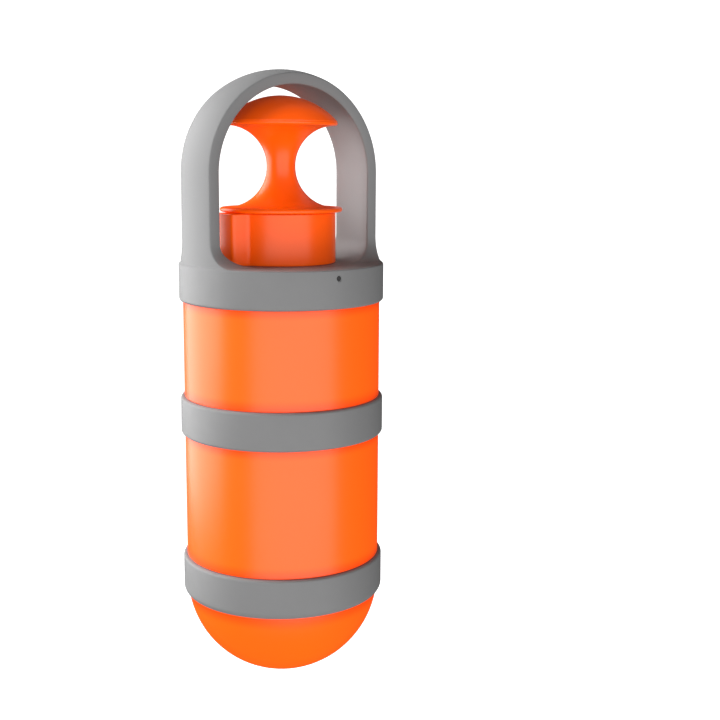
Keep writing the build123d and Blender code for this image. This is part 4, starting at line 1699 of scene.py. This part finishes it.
DRESSINGS = (
    Dressing(Rubber("seal_rubber"), ("shell_o_rings", "drum_o_ring", "shaft_seal")),
    # Painted shade: the light pipe is near black and dull, so the status hole reads as a dark recess.
    Dressing(
        PlainMoulding("smoked_pipe", (0.003, 0.003, 0.004), (0.005, 0.005, 0.006), 0.2, shine=0.08),
        ("status_light_pipe",),
    ),
    Dressing(
        TurnedMetal("bright_steel"),
        (
            "guide_screws",
            "detent_ball",
            "knob_shaft",
            "knob_screw",
            "board_screws",
            "core_screws",
            "lens_ring_screws",
        ),
    ),
    Dressing(
        TurnedMetal("spring_wire", (0.42, 0.42, 0.44), (0.3, 0.29, 0.28), 0.32, 0.6 * MM),
        ("detent_spring", "shaft_clips"),
    ),
    Dressing(
        TurnedMetal("turned_brass", (0.72, 0.48, 0.18), (0.5, 0.33, 0.12)),
        ("shaft_bushing", "bus_rod"),
    ),
    Dressing(
        TurnedMetal("anodised_aluminium", (0.72, 0.73, 0.75), (0.6, 0.61, 0.63), 0.36, 0.4 * MM),
        ("drum_nut", "core_flange", "core_tube", "clamp_nut", "heat_sink", "lens_ring"),
    ),
    Dressing(
        TurnedMetal("plated_magnet", (0.7, 0.7, 0.72), (0.6, 0.6, 0.6), 0.15),
        ("carriage_magnet", "shaft_magnet"),
    ),
    Dressing(TurnedMetal("mirror_coat", (0.9, 0.9, 0.91), (0.86, 0.86, 0.87), 0.04), ("reflector",)),
    Dressing(PlainMoulding("glass_filled_moulding"), ("carriage_guide", "core_spacer", "cell_holder")),
    Dressing(
        PlainMoulding("slippery_moulding", (0.72, 0.71, 0.68), (0.64, 0.63, 0.6), 0.35), ("plunger_carriage",)
    ),
    Dressing(
        PlainMoulding("frosted_sleeve", (0.85, 0.85, 0.83), (0.78, 0.78, 0.76), 0.45), ("diffuser_sleeves",)
    ),
    Dressing(
        SolderMask("solder_mask"),
        (
            "switch_board",
            "main_board",
            "glow_strips",
            "upper_contact_board",
            "lower_contact_board",
            "led_board",
        ),
    ),
    Dressing(
        PlainMoulding("packaged_parts", (0.015, 0.015, 0.016), (0.04, 0.04, 0.04), 0.4),
        ("switch_board_parts", "main_board_parts"),
    ),
    Dressing(PlainMoulding("wire_sleeve", (0.5, 0.02, 0.015), (0.4, 0.015, 0.01), 0.35), ("harness_wires",)),
    Dressing(PlainMoulding("phosphor", (0.9, 0.62, 0.08), (0.8, 0.5, 0.05), 0.4), ("led_emitter",)),
    Dressing(ClearPane("clear_pane"), ("beam_lens",)),
)


# ---------------------------------------------------------------- studio
@dataclass
class Studio:
    """Floor, lights and camera."""

    target: Vector
    scale: float
    floor_drop: float = 0.3
    fill: float = 0.25
    mirrored: float = 0.03
    bounce_size: float = 4.0
    bounce_power: float = 38.0
    floor_front: float = -2.5
    floor_back: float = 2.2
    floor_bend: float = 0.9
    floor_top: float = 3.2
    floor_half_width: float = 3.0
    bend_steps: int = 16

    def stage(self) -> None:
        """A pale floor well below the hanging lantern, curved up behind it."""
        floor, back, bend = -self.floor_drop, self.floor_back, self.floor_bend
        angles = [math.pi / 2 * i / self.bend_steps for i in range(self.bend_steps + 1)]
        profile = [(self.floor_front, floor)]
        profile += [
            (back - bend + bend * math.sin(a), floor + bend * (1 - math.cos(a))) for a in angles
        ]
        profile.append((back, self.floor_top))
        shape = Shape()
        turn = Matrix.Rotation(CAMERA_TURN, 3, "Z")
        sides = (-self.floor_half_width, self.floor_half_width)
        rows = [[turn @ Vector((x, y, z)) for x in sides] for y, z in profile]
        shape.grid(rows, False, False)
        mesh = shape.mesh("studio_floor")
        for face in mesh.polygons:
            face.use_smooth = True
        floor_piece = add("studio_floor", mesh)
        paper = StudioPaper("studio_paper").material()
        paper.cycles.emission_sampling = "NONE"
        mesh.materials.append(paper)
        floor_piece.visible_diffuse = floor_piece.visible_glossy = floor_piece.visible_shadow = False

    def softbox(
        self,
        name: str,
        turn: float,
        height: float,
        away: float,
        size: Point,
        power: float,
        shiny: bool = True,
    ) -> None:
        """One area light aimed at the lantern.

        Args:
            name: The light's name.
            turn: Its angle round the lantern from the camera, in degrees, to the right.
            height: Its height.
            away: Its distance from the axis.
            size: Its width and height.
            power: Its power in watts.
            shiny: Whether it shows in reflections.
        """
        data = bpy.data.lights.new(name, "AREA")
        data.shape, data.size, data.size_y, data.energy = "RECTANGLE", size[0], size[1], power
        light = bpy.data.objects.new(name, data)
        angle = math.radians(turn) + CAMERA_TURN
        light.location = (away * math.sin(angle), -away * math.cos(angle), height)
        light.visible_glossy = data.cycles.use_multiple_importance_sampling = shiny
        aim = self.target - light.location
        light.rotation_euler = aim.to_track_quat("-Z", "Y").to_euler()
        bpy.context.scene.collection.objects.link(light)

    def bounce(self) -> None:
        """Light coming back up from the paper, kept out of reflections."""
        data = bpy.data.lights.new("paper_bounce", "AREA")
        data.size, data.energy = self.bounce_size, self.bounce_power
        light = bpy.data.objects.new("paper_bounce", data)
        light.location = (0.0, 0.0, -2 * self.floor_drop)
        light.rotation_euler = (math.pi, 0.0, 0.0)
        light.visible_glossy = light.visible_camera = False
        data.cycles.use_multiple_importance_sampling = False
        bpy.context.scene.collection.objects.link(light)

    def world(self) -> None:
        """White to the eye, a low even fill for the shading and dark in reflections."""
        world = bpy.data.worlds.new("studio")
        world.use_nodes = True
        tree = world.node_tree
        back, path = tree.nodes["Background"], tree.nodes.new("ShaderNodeLightPath")
        dimmed, seen = tree.nodes.new("ShaderNodeMix"), tree.nodes.new("ShaderNodeMix")
        dimmed.inputs["A"].default_value = self.fill
        dimmed.inputs["B"].default_value = self.mirrored
        seen.inputs["B"].default_value = 1.0
        for source, target in (
            (path.outputs["Is Glossy Ray"], dimmed.inputs["Factor"]),
            (path.outputs["Is Camera Ray"], seen.inputs["Factor"]),
            (dimmed.outputs["Result"], seen.inputs["A"]),
            (seen.outputs["Result"], back.inputs["Strength"]),
        ):
            tree.links.new(source, target)
        back.inputs["Color"].default_value = (1.0, 1.0, 1.0, 1.0)
        world.cycles.sampling_method = "NONE"
        bpy.context.scene.world = world

    def camera(self) -> None:
        """A camera a little above the lantern's middle, looking down on its left front."""
        data = bpy.data.cameras.new("camera")
        data.sensor_width = SENSOR
        data.lens = CAMERA_LENS
        data.clip_start, data.clip_end = 0.02, 20.0
        camera = bpy.data.objects.new("camera", data)
        pitch, yaw, roll = CAMERA_PITCH, CAMERA_YAW, CAMERA_ROLL
        forward = Vector((math.sin(yaw) * math.cos(pitch), math.cos(yaw) * math.cos(pitch), -math.sin(pitch)))
        right = Vector((math.cos(yaw), -math.sin(yaw), 0.0))
        up = right.cross(forward)
        across = right * math.cos(roll) + up * math.sin(roll)
        axes = Matrix((across, across.cross(forward), -forward)).transposed()
        turn = Matrix.Rotation(CAMERA_TURN, 4, "Z")
        place = Matrix.Translation((0, -CAMERA_AWAY * self.scale, CAMERA_HEIGHT))
        camera.matrix_world = turn @ place @ axes.to_4x4()
        bpy.context.scene.collection.objects.link(camera)
        bpy.context.scene.camera = camera

    def build(self) -> None:
        """Sets the studio up."""
        self.stage()
        self.softbox("left_softbox", turn=-108, height=0.26, away=0.75, size=(1.15, 0.9), power=9.2)
        self.softbox(
            "left_wash", turn=-108, height=0.42, away=0.75, size=(0.85, 0.9), power=6.0, shiny=False
        )
        self.softbox(
            "high_left_wash", turn=-100, height=0.9, away=0.6, size=(0.5, 0.5), power=11.0, shiny=False
        )
        self.softbox("front_softbox", turn=14, height=-0.05, away=1.3, size=(2.9, 1.8), power=26.5)
        self.bounce()
        self.world()
        self.camera()
        bpy.context.scene.view_settings.view_transform = "Standard"


def main() -> None:
    """Builds every sub-assembly in turn, then the studio."""
    logging.basicConfig(level=logging.INFO, format="%(message)s")
    band_radius = reach("lower_band")
    yoke_span = span("handle_yoke")
    drum_low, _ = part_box("switch_drum")
    lower, upper, coupling = span("lower_shell"), span("upper_shell"), span("middle_band")
    ring_foot = yoke_span[0]
    deck = ring_foot + RING_HEIGHT
    Yoke(ring_foot, deck, band_radius, ARCH_RADIUS, yoke_span[1]).build()
    bezel = span("lower_band")
    Shells(lower, upper, coupling, bezel[1], ring_foot, reach("upper_shell"), band_radius).build()
    DomeHead(bezel[0], bezel[1], span("dome_lens")[1], band_radius, reach("upper_shell")).build()
    drum = span("switch_drum")
    Drum(deck, drum[1], drum[0], -drum_low[0]).build()
    spool, cap = span("knob_spool"), span("knob_cap")
    Knob(spool[0], spool[1], reach("knob_spool"), cap[1], reach("knob_cap")).build()
    strip_low, strip_high = span("glow_strips")
    spacer = span("core_spacer")
    zones = ((strip_low, spacer[0] - CHIP_GAP_BELOW), (spacer[1] + CHIP_GAP_ABOVE, strip_high))
    Core(zones, span("battery_cells"), span("contact_springs")).build()
    for dressing in DRESSINGS:
        dressing.apply()
    low, high = cad_box
    Studio((Vector(low) + Vector(high)) / 2, band_radius).build()


if __name__ == "__main__":
    main()
